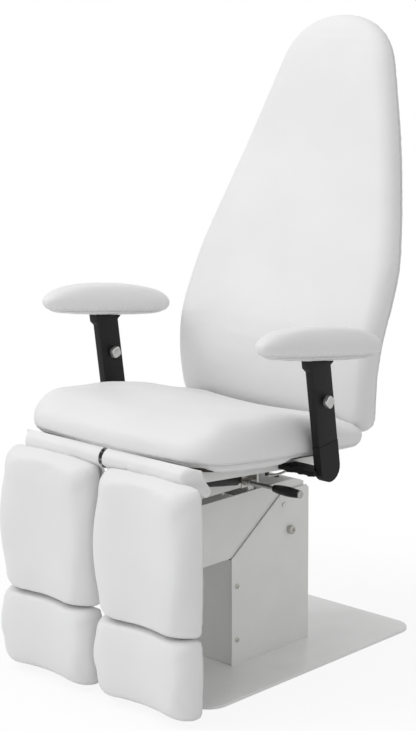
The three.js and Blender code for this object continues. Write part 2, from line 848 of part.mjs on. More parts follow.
// ---------- back ----------

// The back's middle surface: y over height, a lumbar bend under a straight lean.
const backLine = new THREE.SplineCurve(
  [
    [500, 150],
    [570, 138],
    [650, 136],
    [740, 152],
    [890, 213],
    [1140, 303],
    [1440, 386],
  ].map(([z, y]) => new THREE.Vector2(z, y)),
);
const backLinePoints = backLine.getSpacedPoints(60);

function backMiddle(z) {
  const next = backLinePoints.findIndex((point) => point.x >= z);
  const i = next < 1 ? 1 : next;
  const a = backLinePoints[i - 1];
  const b = backLinePoints[i];
  return a.y + ((z - a.x) / (b.x - a.x)) * (b.y - a.y);
}

// Half the outline of the back, from the bottom corner to the top: a wide hip and a rounded crown.
function backOutline() {
  const half = new THREE.Path();
  half.moveTo(0, backBottomZ);
  half.lineTo(215, backBottomZ + 1);
  half.bezierCurveTo(270, backBottomZ + 2, 286, 530, 292, 580);
  half.bezierCurveTo(303, 680, 305, 790, 294, 880);
  half.bezierCurveTo(280, 960, 200, 1215, 163, 1330);
  half.bezierCurveTo(140, 1400, 80, backTopZ, 0, backTopZ);
  const points = half.getSpacedPoints(25);
  const right = points.map((point) => [point.x, point.y]);
  const left = points.slice(1, -1).reverse().map((point) => [-point.x, point.y]);
  return [...right, ...left];
}

// How far the back's rear surface stands behind its middle surface: least at the hip.
function backRear(z) {
  const { hip, shoulder } = backRearHalf;
  return hip + (shoulder - hip) * THREE.MathUtils.smoothstep(z, 620, 800);
}

function backCushion() {
  const thin = (z) => 1 - 0.22 * THREE.MathUtils.clamp((z - 700) / (backTopZ - 700), 0, 1);
  return cushion({
    outline: backOutline(),
    drawIn: rolled((nx, nz, face) => (face > 0 ? 32 : 26)),
    crown: 0.12,
    centre: [0, 860],
    place: (x, z, n) => [x, -n, z],
    mid: (x, z) => -backMiddle(z),
    front: (x, z) => backFrontHalf * thin(z),
    rear: (x, z) => backRear(z) * thin(z),
  });
}

const backLugX = innerRailX + 2;

function backFrameWeldment(cushionGeometry) {
  const shell = cushionGeometry.clone().translate(0, gap, 0);
  const footY = backMiddle(520) + backRearHalf.hip + 8;
  const crank = new THREE.Shape();
  crank.absarc(backHinge.y, backHinge.z, 13, Math.PI / 2, (3 * Math.PI) / 2, false);
  crank.lineTo(footY + 8, backHinge.z - 6);
  crank.lineTo(footY + 12, 560);
  crank.lineTo(footY - 12, 560);
  crank.lineTo(footY - 12, backHinge.z + 22);
  crank.lineTo(backHinge.y + 30, backHinge.z + 16);
  const rear = (z) => backMiddle(z) + backRear(z) * 0.92;
  const heights = [530, 610, 700, 790, 880, 1000];
  const strip = [
    ...heights.map((z) => [rear(z) + 16, z]),
    ...heights.slice().reverse().map((z) => [rear(z) - 14, z]),
  ];
  const pieces = Object.values(sides).flatMap((side) => [
    profile(crank, ...across(side, backLugX, backLugX + 10)),
    profile(strip, ...across(side, backLugX, backLugX + 26)),
  ]);
  const crossTube = (z) => box([-backLugX - 10, backLugX + 10], [rear(z) - 4, rear(z) + 15], [z - 12, z + 12]);
  const torqueTube = { y: footY, z: backHinge.z + 8 };
  const levers = Object.values(sides).flatMap((side) => [
    profile(linkOutline(backHinge, backLever, 10), ...across(side, 12, 18)),
    profile(linkOutline(torqueTube, backHinge, 10), ...across(side, 12, 18)),
  ]);
  const tube = pin(10, -backLugX - 5, backLugX + 5, torqueTube);
  const leverPin = pin(springPinRadius, -17, 17, backLever);
  const body = join(...pieces, crossTube(620), crossTube(960), tube, ...levers, leverPin);
  return cut(body, shell, pin(hingeShaftRadius + gap, -200, 200, backHinge));
}

const backCushionGeometry = backCushion();
node("back_cushion", "upholstery", backCushionGeometry);
node("back_frame", "blackCoat", backFrameWeldment(backCushionGeometry));

// ---------- gas springs ----------

// A gas spring between two pins: the cylinder's eye sits on the first, the rod's eye on the second.
function gasSpring(names, x, from, to, { end, boreStart, rodStart, eyeWidth, pinRadius, clearance }) {
  const group = frameAt(x, from, leanTowards(from, to));
  const length = distance(from, to);
  const cylinder = cut(
    join(localPin(springPinRadius + 5, eyeWidth, 0), rod(7, 4, 18), rod(cylinderRadius, 13, end, 0, 0, 18)),
    localPin(springPinRadius + gap, eyeWidth + 1, 0),
    rod(springRodRadius + gap, boreStart, end + 1),
  );
  const eyeRadius = pinRadius + clearance + 3;
  const ram = cut(
    join(rod(springRodRadius, rodStart, length - eyeRadius + 3), localPin(eyeRadius, eyeWidth, length, 18)),
    localPin(pinRadius + clearance, eyeWidth + 1, length, 18),
  );
  node(names.cylinder, "blackPlastic", cylinder, group);
  node(names.rod, "steel", ram, group);
}

gasSpring({ cylinder: "back_spring_cylinder", rod: "back_spring_rod" }, 0, backSpringPin, backLever, {
  end: 104,
  boreStart: 16,
  rodStart: 62,
  eyeWidth: 8,
  pinRadius: springPinRadius,
  clearance: backEyeClearance,
});

function springBracket(side) {
  const outer = 141;
  const wall = 2.5;
  const plate = [
    [legSpringPin.y - 14, legSpringPin.z - 15],
    [legSpringPin.y + 18, legSpringPin.z - 15],
    [legSpringPin.y + 18, legSpringPin.z + 15],
    [legSpringPin.y - 14, legSpringPin.z + 15],
  ];
  const innerPlate = profile(plate, ...across(side, cheekOuterX + gap, cheekOuterX + gap + wall));
  const outerPlate = profile(plate, ...across(side, outer - wall, outer));
  const web = box(
    across(side, cheekOuterX + gap, leverPivotX + 8),
    [legSpringPin.y + 18 - wall, legSpringPin.y + 18],
    [legSpringPin.z - 15, legSpringPin.z + 15],
  );
  const spring = pin(springPinRadius, ...across(side, cheekOuterX + 1, outer + 1.5), legSpringPin);
  const bolt = rod(3, 0, 34, 0, 0).rotateX(Math.PI / 2);
  const head = rod(6, 30, 34, 0, 0, 6).rotateX(Math.PI / 2);
  const stud = join(bolt, head).translate(side * leverPivotX, legSpringPin.y + 17, legSpringPin.z);
  return join(innerPlate, outerPlate, web, spring, stud);
}

function releaseLever(side) {
  const y = legSpringPin.y + 17 - 24;
  const eye = rod(7, -5, 5).rotateX(Math.PI / 2).translate(side * leverPivotX, y, legSpringPin.z);
  const at = { y, z: legSpringPin.z };
  const shaft = pin(leverRodRadius, ...across(side, leverPivotX + 4, leverEndX - 2), at);
  const cap = pin(gripRadius * 0.72, ...across(side, leverEndX - 4, leverEndX), at);
  const hole = rod(3 + gap, -6, 6).rotateX(Math.PI / 2).translate(side * leverPivotX, y, legSpringPin.z);
  return cut(join(eye, shaft, cap), hole);
}

// An oval grip turned about the lever's rod.
function leverGrip(side) {
  const steps = 8;
  const bore = leverRodRadius + gap;
  const outer = Array.from({ length: steps + 1 }, (_, i) => {
    const t = i / steps;
    const swell = Math.sin(Math.PI * (0.12 + 0.76 * t)) ** 0.5;
    return new THREE.Vector2(gripRadius * swell, t * gripLength);
  });
  const points = [new THREE.Vector2(bore, 0), ...outer, new THREE.Vector2(bore, gripLength)];
  points.push(points[0].clone());
  const grip = new THREE.LatheGeometry(points, 14);
  grip.rotateZ(-Math.PI / 2);
  const start = side > 0 ? leverEndX - 4 - gap - gripLength : -(leverEndX - 4 - gap);
  return grip.translate(start, legSpringPin.y - 7, legSpringPin.z);
}

for (const [sideName, side] of Object.entries(sides)) {
  const names = { cylinder: `leg_spring_cylinder_${sideName}`, rod: `leg_spring_rod_${sideName}` };
  gasSpring(names, side * legSpringX, legSpringPin, legLever, {
    end: cylinderEnd,
    boreStart: 84,
    rodStart: 90,
    eyeWidth: 4,
    pinRadius: legPinRadius,
    clearance: legEyeClearance,
  });
  node(`spring_bracket_${sideName}`, "zinc", springBracket(side));
  node(`release_lever_${sideName}`, "steel", releaseLever(side));
  node(`lever_grip_${sideName}`, "blackPlastic", leverGrip(side));
}

// ---------- leg rests ----------

function legPad(name, x, width, [bottomZ, topZ], [lowCorner, highCorner]) {
  const rearShare = 0.42;
  const geometry = cushion({
    outline: bowedOutline({
      halfU: width / 2,
      v0: bottomZ,
      v1: topZ,
      lowCorner,
      highCorner,
      bow: { side: 5, low: 4, high: 4 },
      count: 32,
    }),
    drawIn: rolled((nx, nz, face) => (face > 0 ? 32 : 18)),
    crown: 0.14,
    centre: [0, (bottomZ + topZ) / 2],
    place: (u, z, n) => [u + x, legPadBackY - rearShare * legPadThickness - n, z],
    front: (u) => (1 - rearShare) * legPadThickness - legPadTrough * Math.cos((Math.PI * u) / width) ** 2,
    rear: () => rearShare * legPadThickness,
  });
  node(name, "upholstery", geometry);
}

function legFrame(side) {
  const x = side * legCentreX;
  const half = legTube.width / 2;
  const tubeBack = legTubeFrontY + legTube.depth;
  const top = legHinge.z - 26;
  const outer = box([x - half, x + half], [legTubeFrontY, tubeBack], [legTubeBottomZ, top]);
  const neck = profile(
    [
      [legTubeFrontY, top - 1],
      [tubeBack, top - 1],
      [legHinge.y + 10, legHinge.z],
      [legHinge.y - 4, legHinge.z - 4],
    ],
    x - half,
    x + half,
  );
  const barrel = pin(barrelRadius, x - 44, x + 44, legHinge);
  const inner = side * legCentreX - side * half;
  const leverPin = pin(legPinRadius, ...[inner - side * 12, inner + side].sort((a, b) => a - b), legLever);
  const leverHead = pin(16, ...[inner - side * 15, inner - side * 11].sort((a, b) => a - b), legLever);
  const cavity = box(
    [x - half + legTube.wall, x + half - legTube.wall],
    [legTubeFrontY + legTube.wall, tubeBack - legTube.wall],
    [legTubeBottomZ - 1, top - 8],
  );
  const body = join(cut(outer, cavity), neck, barrel, leverPin, leverHead);
  return cut(body, pin(hingeShaftRadius + gap, x - 60, x + 60, legHinge));
}

function footSlide(x) {
  const clearance = 0.8;
  const half = legTube.width / 2 - legTube.wall - clearance;
  const y0 = legTubeFrontY + legTube.wall + clearance;
  const y1 = legTubeFrontY + legTube.depth - legTube.wall - clearance;
  const bar = box([x - half, x + half], [y0, y1], [footBottomZ + 50, 420]);
  const plate = box([x - 70, x + 70], [y0 - 3.8, y0 + 2.2], [footBottomZ + 35, footTopZ - 30]);
  return join(bar, plate);
}

// A leatherette flap wrapped round the leg hinge, from under the seat to behind the calf pad.
function legFlap(side) {
  const start = THREE.MathUtils.degToRad(98);
  const end = THREE.MathUtils.degToRad(240);
  const shape = new THREE.Shape();
  shape.absarc(legHinge.y, legHinge.z, flapRadius, start, end, false);
  shape.absarc(legHinge.y, legHinge.z, flapRadius - flapThickness, end, start, true);
  return profile(shape, ...across(side, flapSpan.inner, flapSpan.outer));
}

for (const [sideName, side] of Object.entries(sides)) {
  const x = side * legCentreX;
  node(`leg_frame_${sideName}`, "blackCoat", legFrame(side));
  node(`foot_slide_${sideName}`, "blackCoat", footSlide(x));
  node(`leg_flap_${sideName}`, "upholstery", legFlap(side));
  legPad(`calf_cushion_${sideName}`, x, calfWidth, [calfBottomZ, calfTopZ], [40, 58]);
  legPad(`foot_cushion_${sideName}`, x, footWidth, [footBottomZ, footTopZ], [36, 54]);
}

// ---------- armrests ----------

// A point of the leaning armrest bar: v runs rearwards across it and w up along it.
function barPoint(v, w) {
  return [
    armrestFoot.y + v * Math.cos(armrestLean) - w * Math.sin(armrestLean),
    armrestFoot.z + v * Math.sin(armrestLean) + w * Math.cos(armrestLean),
  ];
}

function barBox([v0, v1], [w0, w1], [x0, x1]) {
  return profile([barPoint(v0, w0), barPoint(v1, w0), barPoint(v1, w1), barPoint(v0, w1)], x0, x1);
}

// A point of the pitched pad: v runs rearwards along its underside and h up from it.
function padPoint(v, h) {
  return [
    padSeat.y + v * Math.cos(padPitch) + h * Math.sin(padPitch),
    padSeat.z - v * Math.sin(padPitch) + h * Math.cos(padPitch),
  ];
}

const barTop = (padSeat.z - armrestFoot.z) / Math.cos(armrestLean);

function armrestBracket(side) {
  const x = side * armrestX;
  const plateX = [x - barWidth / 2, x + barWidth / 2];
  const half = barDepth / 2;
  const foot = new THREE.Shape();
  foot.absarc(armrestFoot.y, armrestFoot.z, half, Math.PI + armrestLean, 2 * Math.PI + armrestLean, false);
  foot.lineTo(...barPoint(half, seamHeight));
  foot.lineTo(...barPoint(-half, seamHeight));
  const tongueHalf = half - barWall - 1;
  const tongueX = barWidth / 2 - barWall - 1;
  const tongue = barBox([-tongueHalf, tongueHalf], [seamHeight - 1, tongueTop], [x - tongueX, x + tongueX]);
  const arm = seatBar(
    [35, 95],
    [railBottom + 4, railBottom + 14],
    across(side, outerRailX + railWidth / 2 + gap, armrestX),
  );
  const bolts = [14, 40, 66].map((offset) => {
    const head = rod(6.5, railBottom - 4, railBottom + 5, side * (outerRailX + railWidth / 2 + offset), 65, 6);
    return head.rotateX(-seatTilt).translate(0, seatOrigin.y, seatOrigin.z);
  });
  return join(profile(foot, ...plateX), tongue, arm, ...bolts);
}

// The outer tube: it flares into a flange under the pad and slides on the bracket's tongue.
function armrestSleeve(x) {
  const half = barDepth / 2;
  const bottom = seamHeight + gap;
  const outline = [
    barPoint(-half, bottom),
    barPoint(half, bottom),
    barPoint(half, barTop - 26),
    padPoint(flangeHalf, -6),
    padPoint(flangeHalf, -gap),
    padPoint(-flangeHalf, -gap),
    padPoint(-flangeHalf, -6),
    barPoint(-half, barTop - 20),
  ];
  const cavity = barBox(
    [-half + barWall, half - barWall],
    [bottom - 1, barTop - 34],
    [x - barWidth / 2 + barWall, x + barWidth / 2 - barWall],
  );
  const plate = profile(
    [padPoint(-flangeHalf, -5), padPoint(flangeHalf, -5), padPoint(flangeHalf, -gap), padPoint(-flangeHalf, -gap)],
    x - 13,
    x + 13,
  );
  const [knobY, knobZ] = barPoint(knobAt.v, knobAt.w);
  const hole = pin(4 + gap, x + barWidth / 2 - barWall - 1, x + barWidth / 2 + 1, { y: knobY, z: knobZ });
  return cut(join(profile(outline, x - barWidth / 2, x + barWidth / 2), plate), cavity, hole);
}

const knobAt = { v: 2, w: 150 };

function armrestKnob(x) {
  const face = x + barWidth / 2 + gap;
  const [y, z] = barPoint(knobAt.v, knobAt.w);
  const shape = roundedRectangle(knobSize, knobSize, 7);
  const head = plan(shape, 4, 17).applyMatrix4(alongX);
  const stem = pin(4, x + barWidth / 2 - barWall - 0.6, face + 6, { y, z }, 12);
  const collar = pin(8, face, face + 5, { y, z });
  return join(head.translate(face, y, z), stem, collar);
}

// A leaf-shaped pad, domed on top and drawn out at both ends.
function armrestPad(x) {
  const length = padRearV - padFrontV;
  const middle = (padFrontV + padRearV) / 2;
  const rim = padThickness * 0.4;
  const fall = (v) => 1 - 0.3 * Math.abs((2 * (v - middle)) / length) ** 3;
  return cushion({
    outline: leafOutline(padWidth / 2, padFrontV, padRearV, 2.5, 26),
    drawIn: ([u, v], normal, inset) => [u * (1 - 0.55 * inset), middle + (v - middle) * (1 - 0.22 * inset)],
    crown: 0.2,
    centre: [0, middle],
    place: (u, v, h) => [u + x, ...padPoint(v, h)],
    mid: () => rim,
    front: (u, v) => (padThickness - rim) * fall(v),
    rear: () => rim,
  });
}

for (const [sideName, side] of Object.entries(sides)) {
  const x = side * armrestX;
  const raise = armrestRaise[sideName];
  const slide = new THREE.Group();
  slide.position.set(0, -raise * Math.sin(armrestLean), raise * Math.cos(armrestLean));
  chair.add(slide);
  node(`armrest_bracket_${sideName}`, "blackCoat", armrestBracket(side));
  node(`armrest_sleeve_${sideName}`, "blackCoat", armrestSleeve(x), slide);
  node(`armrest_knob_${sideName}`, "greyPlastic", armrestKnob(x), slide);
  node(`armrest_pad_${sideName}`, "upholstery", armrestPad(x), slide);
}

export default chair;
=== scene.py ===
"""Dresses the frame of a pedicure chair: upholstery, flaps, fittings, finishes and a plain studio."""

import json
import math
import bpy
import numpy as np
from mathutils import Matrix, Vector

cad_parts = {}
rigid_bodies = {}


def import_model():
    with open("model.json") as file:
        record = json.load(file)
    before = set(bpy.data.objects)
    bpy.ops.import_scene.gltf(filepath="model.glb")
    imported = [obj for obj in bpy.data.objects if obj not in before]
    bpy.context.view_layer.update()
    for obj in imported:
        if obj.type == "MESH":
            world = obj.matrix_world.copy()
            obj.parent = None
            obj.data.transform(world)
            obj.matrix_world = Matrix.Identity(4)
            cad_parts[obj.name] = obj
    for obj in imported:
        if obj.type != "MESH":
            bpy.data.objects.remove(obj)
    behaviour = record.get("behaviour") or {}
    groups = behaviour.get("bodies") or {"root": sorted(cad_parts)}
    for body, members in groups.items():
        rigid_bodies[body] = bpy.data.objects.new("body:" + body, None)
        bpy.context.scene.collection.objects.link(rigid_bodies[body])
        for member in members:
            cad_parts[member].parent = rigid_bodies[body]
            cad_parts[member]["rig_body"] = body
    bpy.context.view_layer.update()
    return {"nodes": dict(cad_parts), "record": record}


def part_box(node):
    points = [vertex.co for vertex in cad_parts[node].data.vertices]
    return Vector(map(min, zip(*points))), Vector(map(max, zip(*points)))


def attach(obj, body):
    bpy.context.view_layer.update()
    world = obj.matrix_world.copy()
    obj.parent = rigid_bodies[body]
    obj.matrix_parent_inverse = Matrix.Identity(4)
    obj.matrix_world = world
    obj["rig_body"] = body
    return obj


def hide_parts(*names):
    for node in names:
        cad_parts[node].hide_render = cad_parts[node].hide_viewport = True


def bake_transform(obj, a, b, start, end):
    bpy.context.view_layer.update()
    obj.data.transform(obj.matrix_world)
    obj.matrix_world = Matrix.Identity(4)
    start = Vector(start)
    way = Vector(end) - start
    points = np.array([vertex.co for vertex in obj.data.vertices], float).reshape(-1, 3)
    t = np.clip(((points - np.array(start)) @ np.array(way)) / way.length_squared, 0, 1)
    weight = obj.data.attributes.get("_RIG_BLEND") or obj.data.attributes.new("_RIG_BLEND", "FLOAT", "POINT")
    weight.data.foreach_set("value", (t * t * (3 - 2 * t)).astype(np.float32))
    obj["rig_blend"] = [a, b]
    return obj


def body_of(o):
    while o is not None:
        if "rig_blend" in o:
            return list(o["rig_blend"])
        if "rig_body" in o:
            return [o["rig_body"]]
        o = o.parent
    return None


bl_info = {
    "name": "Pedicure Chair",
    "version": (1, 0, 0),
    "blender": (4, 5, 0),
    "location": "View3D > Sidebar > Pedicure Chair",
    "description": "Upholsters and finishes the frame of a pedicure chair and sets it in a plain studio",
    "category": "Object",
}

from bisect import bisect_right
from contextlib import contextmanager

import bmesh
import bpy
import numpy as np
from bpy.props import FloatProperty, FloatVectorProperty, IntProperty, PointerProperty
from mathutils import Matrix, Vector
from mathutils.kdtree import KDTree

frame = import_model()
MATERIAL_SLOT = {part["node"]: part["material_slot"] for part in frame["record"]["subparts"]}
SIDES = {"left": -1, "right": 1}
CLEARANCE = 0.0003  # between pieces that touch


# ---------------------------------------------------------------- settings


def length(name, description, default):
    return FloatProperty(name=name, description=description, default=default, min=0.0, unit="LENGTH")


def position(name, description, default):
    """A length that may be negative."""
    return FloatProperty(name=name, description=description, default=default, unit="LENGTH")


def angle(name, description, degrees):
    turn = math.radians(degrees)
    return FloatProperty(name=name, description=description, default=turn, subtype="ANGLE")


def colour(name, description, default):
    kind = {"size": 3, "subtype": "COLOR"}
    return FloatVectorProperty(name=name, description=description, default=default, **kind)


def factor(name, description, default):
    ends = {"min": 0.0, "max": 1.0}
    return FloatProperty(name=name, description=description, default=default, subtype="FACTOR", **ends)


def number(name, description, default):
    return FloatProperty(name=name, description=description, default=default)


def whole_number(name, description, default):
    return IntProperty(name=name, description=description, default=default)


class SeatSettings(bpy.types.PropertyGroup):
    half_width: length("Half width", "Half the cushion's width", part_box("seat_cushion")[1].x)
    front: position("Front", "Front edge, from the tilt point", -0.279)
    rear: position("Rear", "Rear edge, from the tilt point", 0.262)
    origin_y: position("Tilt point Y", "Tilt point, across", -0.140)
    origin_z: position("Tilt point Z", "Tilt point, up", 0.5039)
    tilt: angle("Tilt", "How far the seat leans back", 4.85)
    thickness: length("Thickness", "Height of the thighs' roll above the underside", 0.105)
    rim_height: length("Rim height", "Height of the widest line above the underside", 0.036)
    dish: length("Dish", "How far the middle dips", 0.013)
    front_roll: length("Front roll", "How far the front edge rolls over", 0.092)
    tail: factor("Tail", "How far the rear corners slope down", 0.5)
    side_roll: length("Side roll", "How far the sides roll over", 0.056)
    seam_height: length("Seam height", "Height of the seam above the underside", 0.012)
    board_half: length("Board half width", "Half the board's width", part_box("seat_board")[1].x + 0.004)
    side_wrap: length("Side wrap", "How far the cover reaches below the board's top at the sides", 0.011)
    front_wrap: length("Front wrap", "How far the cover reaches below the board's top at the front", 0.004)


class BackSettings(bpy.types.PropertyGroup):
    top: length("Top", "Height of the crown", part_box("back_cushion")[1].z)
    bottom: length("Bottom", "Height of the lower edge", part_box("back_cushion")[0].z)
    front_depth: length("Front depth", "How far the front face stands before the middle", 0.040)
    hip_depth: length("Hip depth", "How far the rear face stands behind the middle at the hip", 0.026)
    shoulder_depth: length("Shoulder depth", "How far the rear face stands behind the middle above", 0.040)
    roll: length("Roll", "How far the edge rolls over", 0.032)
    rear_roll: length("Rear roll", "How far the rear edge rolls over", 0.014)
    lumbar_height: length("Lumbar height", "Height of the fullest point of the back support", 0.69)
    lumbar_swell: length("Lumbar swell", "How far the back support swells forward", 0.006)


class LegSettings(bpy.types.PropertyGroup):
    centre: length("Centre", "Distance of each pad from the middle", 0.1485)
    back_y: position("Back", "Rear face of the pads", -0.405)
    thickness: length("Thickness", "Depth of the pads", 0.074)
    trough: length("Trough", "Depth of the hollow for the leg", 0.018)
    bend: length("Bend", "How far the rim follows the hollow", 0.010)
    lower_wave: length("Lower wave", "How far the foot pad's lower edge is drawn up in the middle", 0.007)
    roll: length("Roll", "How far the front edge rolls over", 0.030)
    end_roll: length("End roll", "How far the top and the lower end roll over", 0.018)
    joint_roll: length("Joint roll", "How far the edges roll over where two pads meet", 0.004)
    rear_roll: length("Rear roll", "How far the rear edges roll over", 0.007)
    rear_bow: length("Rear bow", "How far the sides bow out on the rear face", 0.002)
    flap_inner: length("Flap inner edge", "Distance of the flap's inner edge from the middle", 0.006)
    flap_outer: length("Flap outer edge", "Distance of the flap's outer edge from the middle", 0.266)
    flap_fold: length("Flap fold", "Where the flap starts to fall back beside the hinge", 0.234)
    flap_hang: length("Flap hang", "How far from the middle the flap hangs behind the pad", 0.100)
    flap_thickness: length("Flap thickness", "Thickness of the leatherette", 0.0016)


class ArmrestSettings(bpy.types.PropertyGroup):
    foot_y: position("Foot Y", "Centre of the bar's foot, across", -0.062)
    foot_z: length("Foot Z", "Centre of the bar's foot, up", 0.483)
    lean: angle("Lean", "How far the bar leans forward", 8.3)
    bar_depth: length("Bar depth", "Depth of the bar", 0.062)
    bar_width: length("Bar width", "Width of the bar", 0.020)
    bar_wall: length("Bar wall", "Wall of the sleeve", 0.003)
    seam_height: length("Seam height", "Where the sleeve starts, along the bar", 0.0553)
    pad_y: position("Pad Y", "Where the bar meets the pad, across", -0.096)
    pad_z: length("Pad Z", "Where the bar meets the pad, up", 0.721)
    pad_pitch: angle("Pad pitch", "How far the pad's front stands up", 7.5)
    pad_front: position("Pad front", "Front tip, along the pad", -0.196)
    pad_rear: length("Pad rear", "Rear tip, along the pad", 0.207)
    pad_width: length("Pad width", "Width of the pad", 0.088)
    pad_thickness: length("Pad thickness", "Height of the pad", 0.074)
    flange_half: length("Flange half length", "Half the length of the flange under the pad", 0.0415)
    raised: length("Raised", "How far the left sleeve stands up at rest", 0.020)
    knob_height: length("Knob height", "Where the knob sits, along the bar", 0.150)
    knob_size: length("Knob size", "Side of the knob", 0.024)


class StuffingSettings(bpy.types.PropertyGroup):
    slack: length("Slack", "How much smaller the cover is before it is stuffed", 0.0010)
    swell: length("Swell", "How far a point may move while it is stuffed", 0.0040)
    evenness: whole_number("Evenness", "How many times the swelling is evened out", 40)
    pucker: length("Pucker", "Depth of the puckers beside the seam", 0.0005)
    pucker_pitch: length("Pucker pitch", "Distance from pucker to pucker", 0.027)
    gather: length("Gather", "Depth of the gathers under the armrest pads", 0.0010)
    gather_pitch: length("Gather pitch", "Distance from gather to gather", 0.012)
    fine_voxel: length("Fine voxel", "Cloth spacing on the small pads", 0.0055)
    coarse_voxel: length("Coarse voxel", "Cloth spacing on the seat and the back", 0.008)
    pressure: number("Pressure", "Pressure of the foam", 4.0)
    frames: whole_number("Frames", "Frames of the stuffing simulation", 20)
    stitch_pitch: length("Stitch pitch", "Distance from stitch to stitch", 0.005)


class ColourSettings(bpy.types.PropertyGroup):
    leatherette: colour("Leatherette", "White upholstery", (0.80, 0.80, 0.80))
    powder_coat: colour("Powder coat", "Light grey sheet metal", (0.82, 0.825, 0.812))
    plate_coat: colour("Plate coat", "Light grey floor plate", (0.90, 0.905, 0.895))
    black_coat: colour("Black coat", "Black powder coat", (0.007, 0.007, 0.007))
    black_plastic: colour("Black plastic", "Grips and gas springs", (0.006, 0.006, 0.006))
    silver_plastic: colour("Silver plastic", "Knobs", (0.62, 0.62, 0.61))
    zinc: colour("Zinc", "Plated brackets and screws", (0.60, 0.585, 0.54))
    steel: colour("Steel", "Shafts and rods", (0.55, 0.55, 0.54))
    # painted shade: the seat board's plywood is coloured near black, as the shade under the seat
    plywood: colour("Plywood", "Seat board", (0.050, 0.040, 0.030))


class StudioSettings(bpy.types.PropertyGroup):
    camera_x: length("Camera X", "Camera place, to the right", 2.8502)
    camera_y: position("Camera Y", "Camera place, across", -3.1318)
    camera_z: length("Camera Z", "Camera place, up", 1.5410)
    yaw: angle("Yaw", "Camera direction from +Y towards -X", 42.352)
    pitch: angle("Pitch", "How far the camera looks down", 7.5)
    lens: number("Lens", "Focal length in millimetres", 93.75)
    shift_x: number("Shift X", "Lens shift across", -0.0355)
    shift_y: number("Shift Y", "Lens shift up", -0.2)
    sky: number("Sky", "Even light from all round", 0.56)
    glare: number("Glare", "The same light as reflections show it", 0.85)
    key: number("Key", "Power of the large lamp at the front left, in watts", 90.0)
    fill: number("Fill", "Power of the lamp at the right, in watts", 5.0)
    front: number("Front", "Power of the lamp low at the front, in watts", 11.0)
    top: number("Top", "Power of the lamp overhead, in watts", 42.0)
    floor_white: factor("Floor white", "How much of the floor under the chair is plain white", 0.88)
    floor_fade: length("Floor fade", "How far from the middle the floor is all white", 1.05)


class ChairSettings(bpy.types.PropertyGroup):
    seat: PointerProperty(type=SeatSettings, name="Seat", description="Seat cushion")
    back: PointerProperty(type=BackSettings, name="Back", description="Back cushion")
    legs: PointerProperty(type=LegSettings, name="Leg rests", description="Leg pads and flaps")
    armrests: PointerProperty(type=ArmrestSettings, name="Armrests", description="Bars, knobs and pads")
    stuffing: PointerProperty(type=StuffingSettings, name="Stuffing", description="Foam and stitching")
    colours: PointerProperty(type=ColourSettings, name="Colours", description="Base colours")
    studio: PointerProperty(type=StudioSettings, name="Studio", description="Camera and lamps")


def settings():
    return bpy.context.scene.pedicure_chair


# ---------------------------------------------------------------- shader maths


class Value:
    """A shader socket that takes part in Python expressions: each operation adds its Math node."""

    def __init__(self, finish, socket):
        self.finish = finish
        self.socket = socket

    def maths(self, operation, *others):
        sockets = dict(enumerate((self, *others)))
        return self.finish.node("ShaderNodeMath", {"operation": operation}, sockets)

    def __add__(self, other):
        return self.maths("ADD", other)

    def __mul__(self, other):
        return self.maths("MULTIPLY", other)

    def __sub__(self, other):
        return self.maths("SUBTRACT", other)

    def __rsub__(self, other):
        return self.maths("MULTIPLY", -1.0) + other

    def __truediv__(self, other):
        return self.maths("DIVIDE", other)

    def __abs__(self):
        return self.maths("ABSOLUTE")

    __radd__ = __add__
    __rmul__ = __mul__

    def fraction(self):
        return self.maths("FRACT")

    def sine(self):
        return self.maths("SINE")

    def rise(self, low, high):
        """0 below low and 1 above high, with a smooth step between."""
        ends = {"Value": self, "From Min": low, "From Max": high, "To Min": 0.0, "To Max": 1.0}
        return self.finish.node("ShaderNodeMapRange", {"interpolation_type": "SMOOTHSTEP"}, ends)


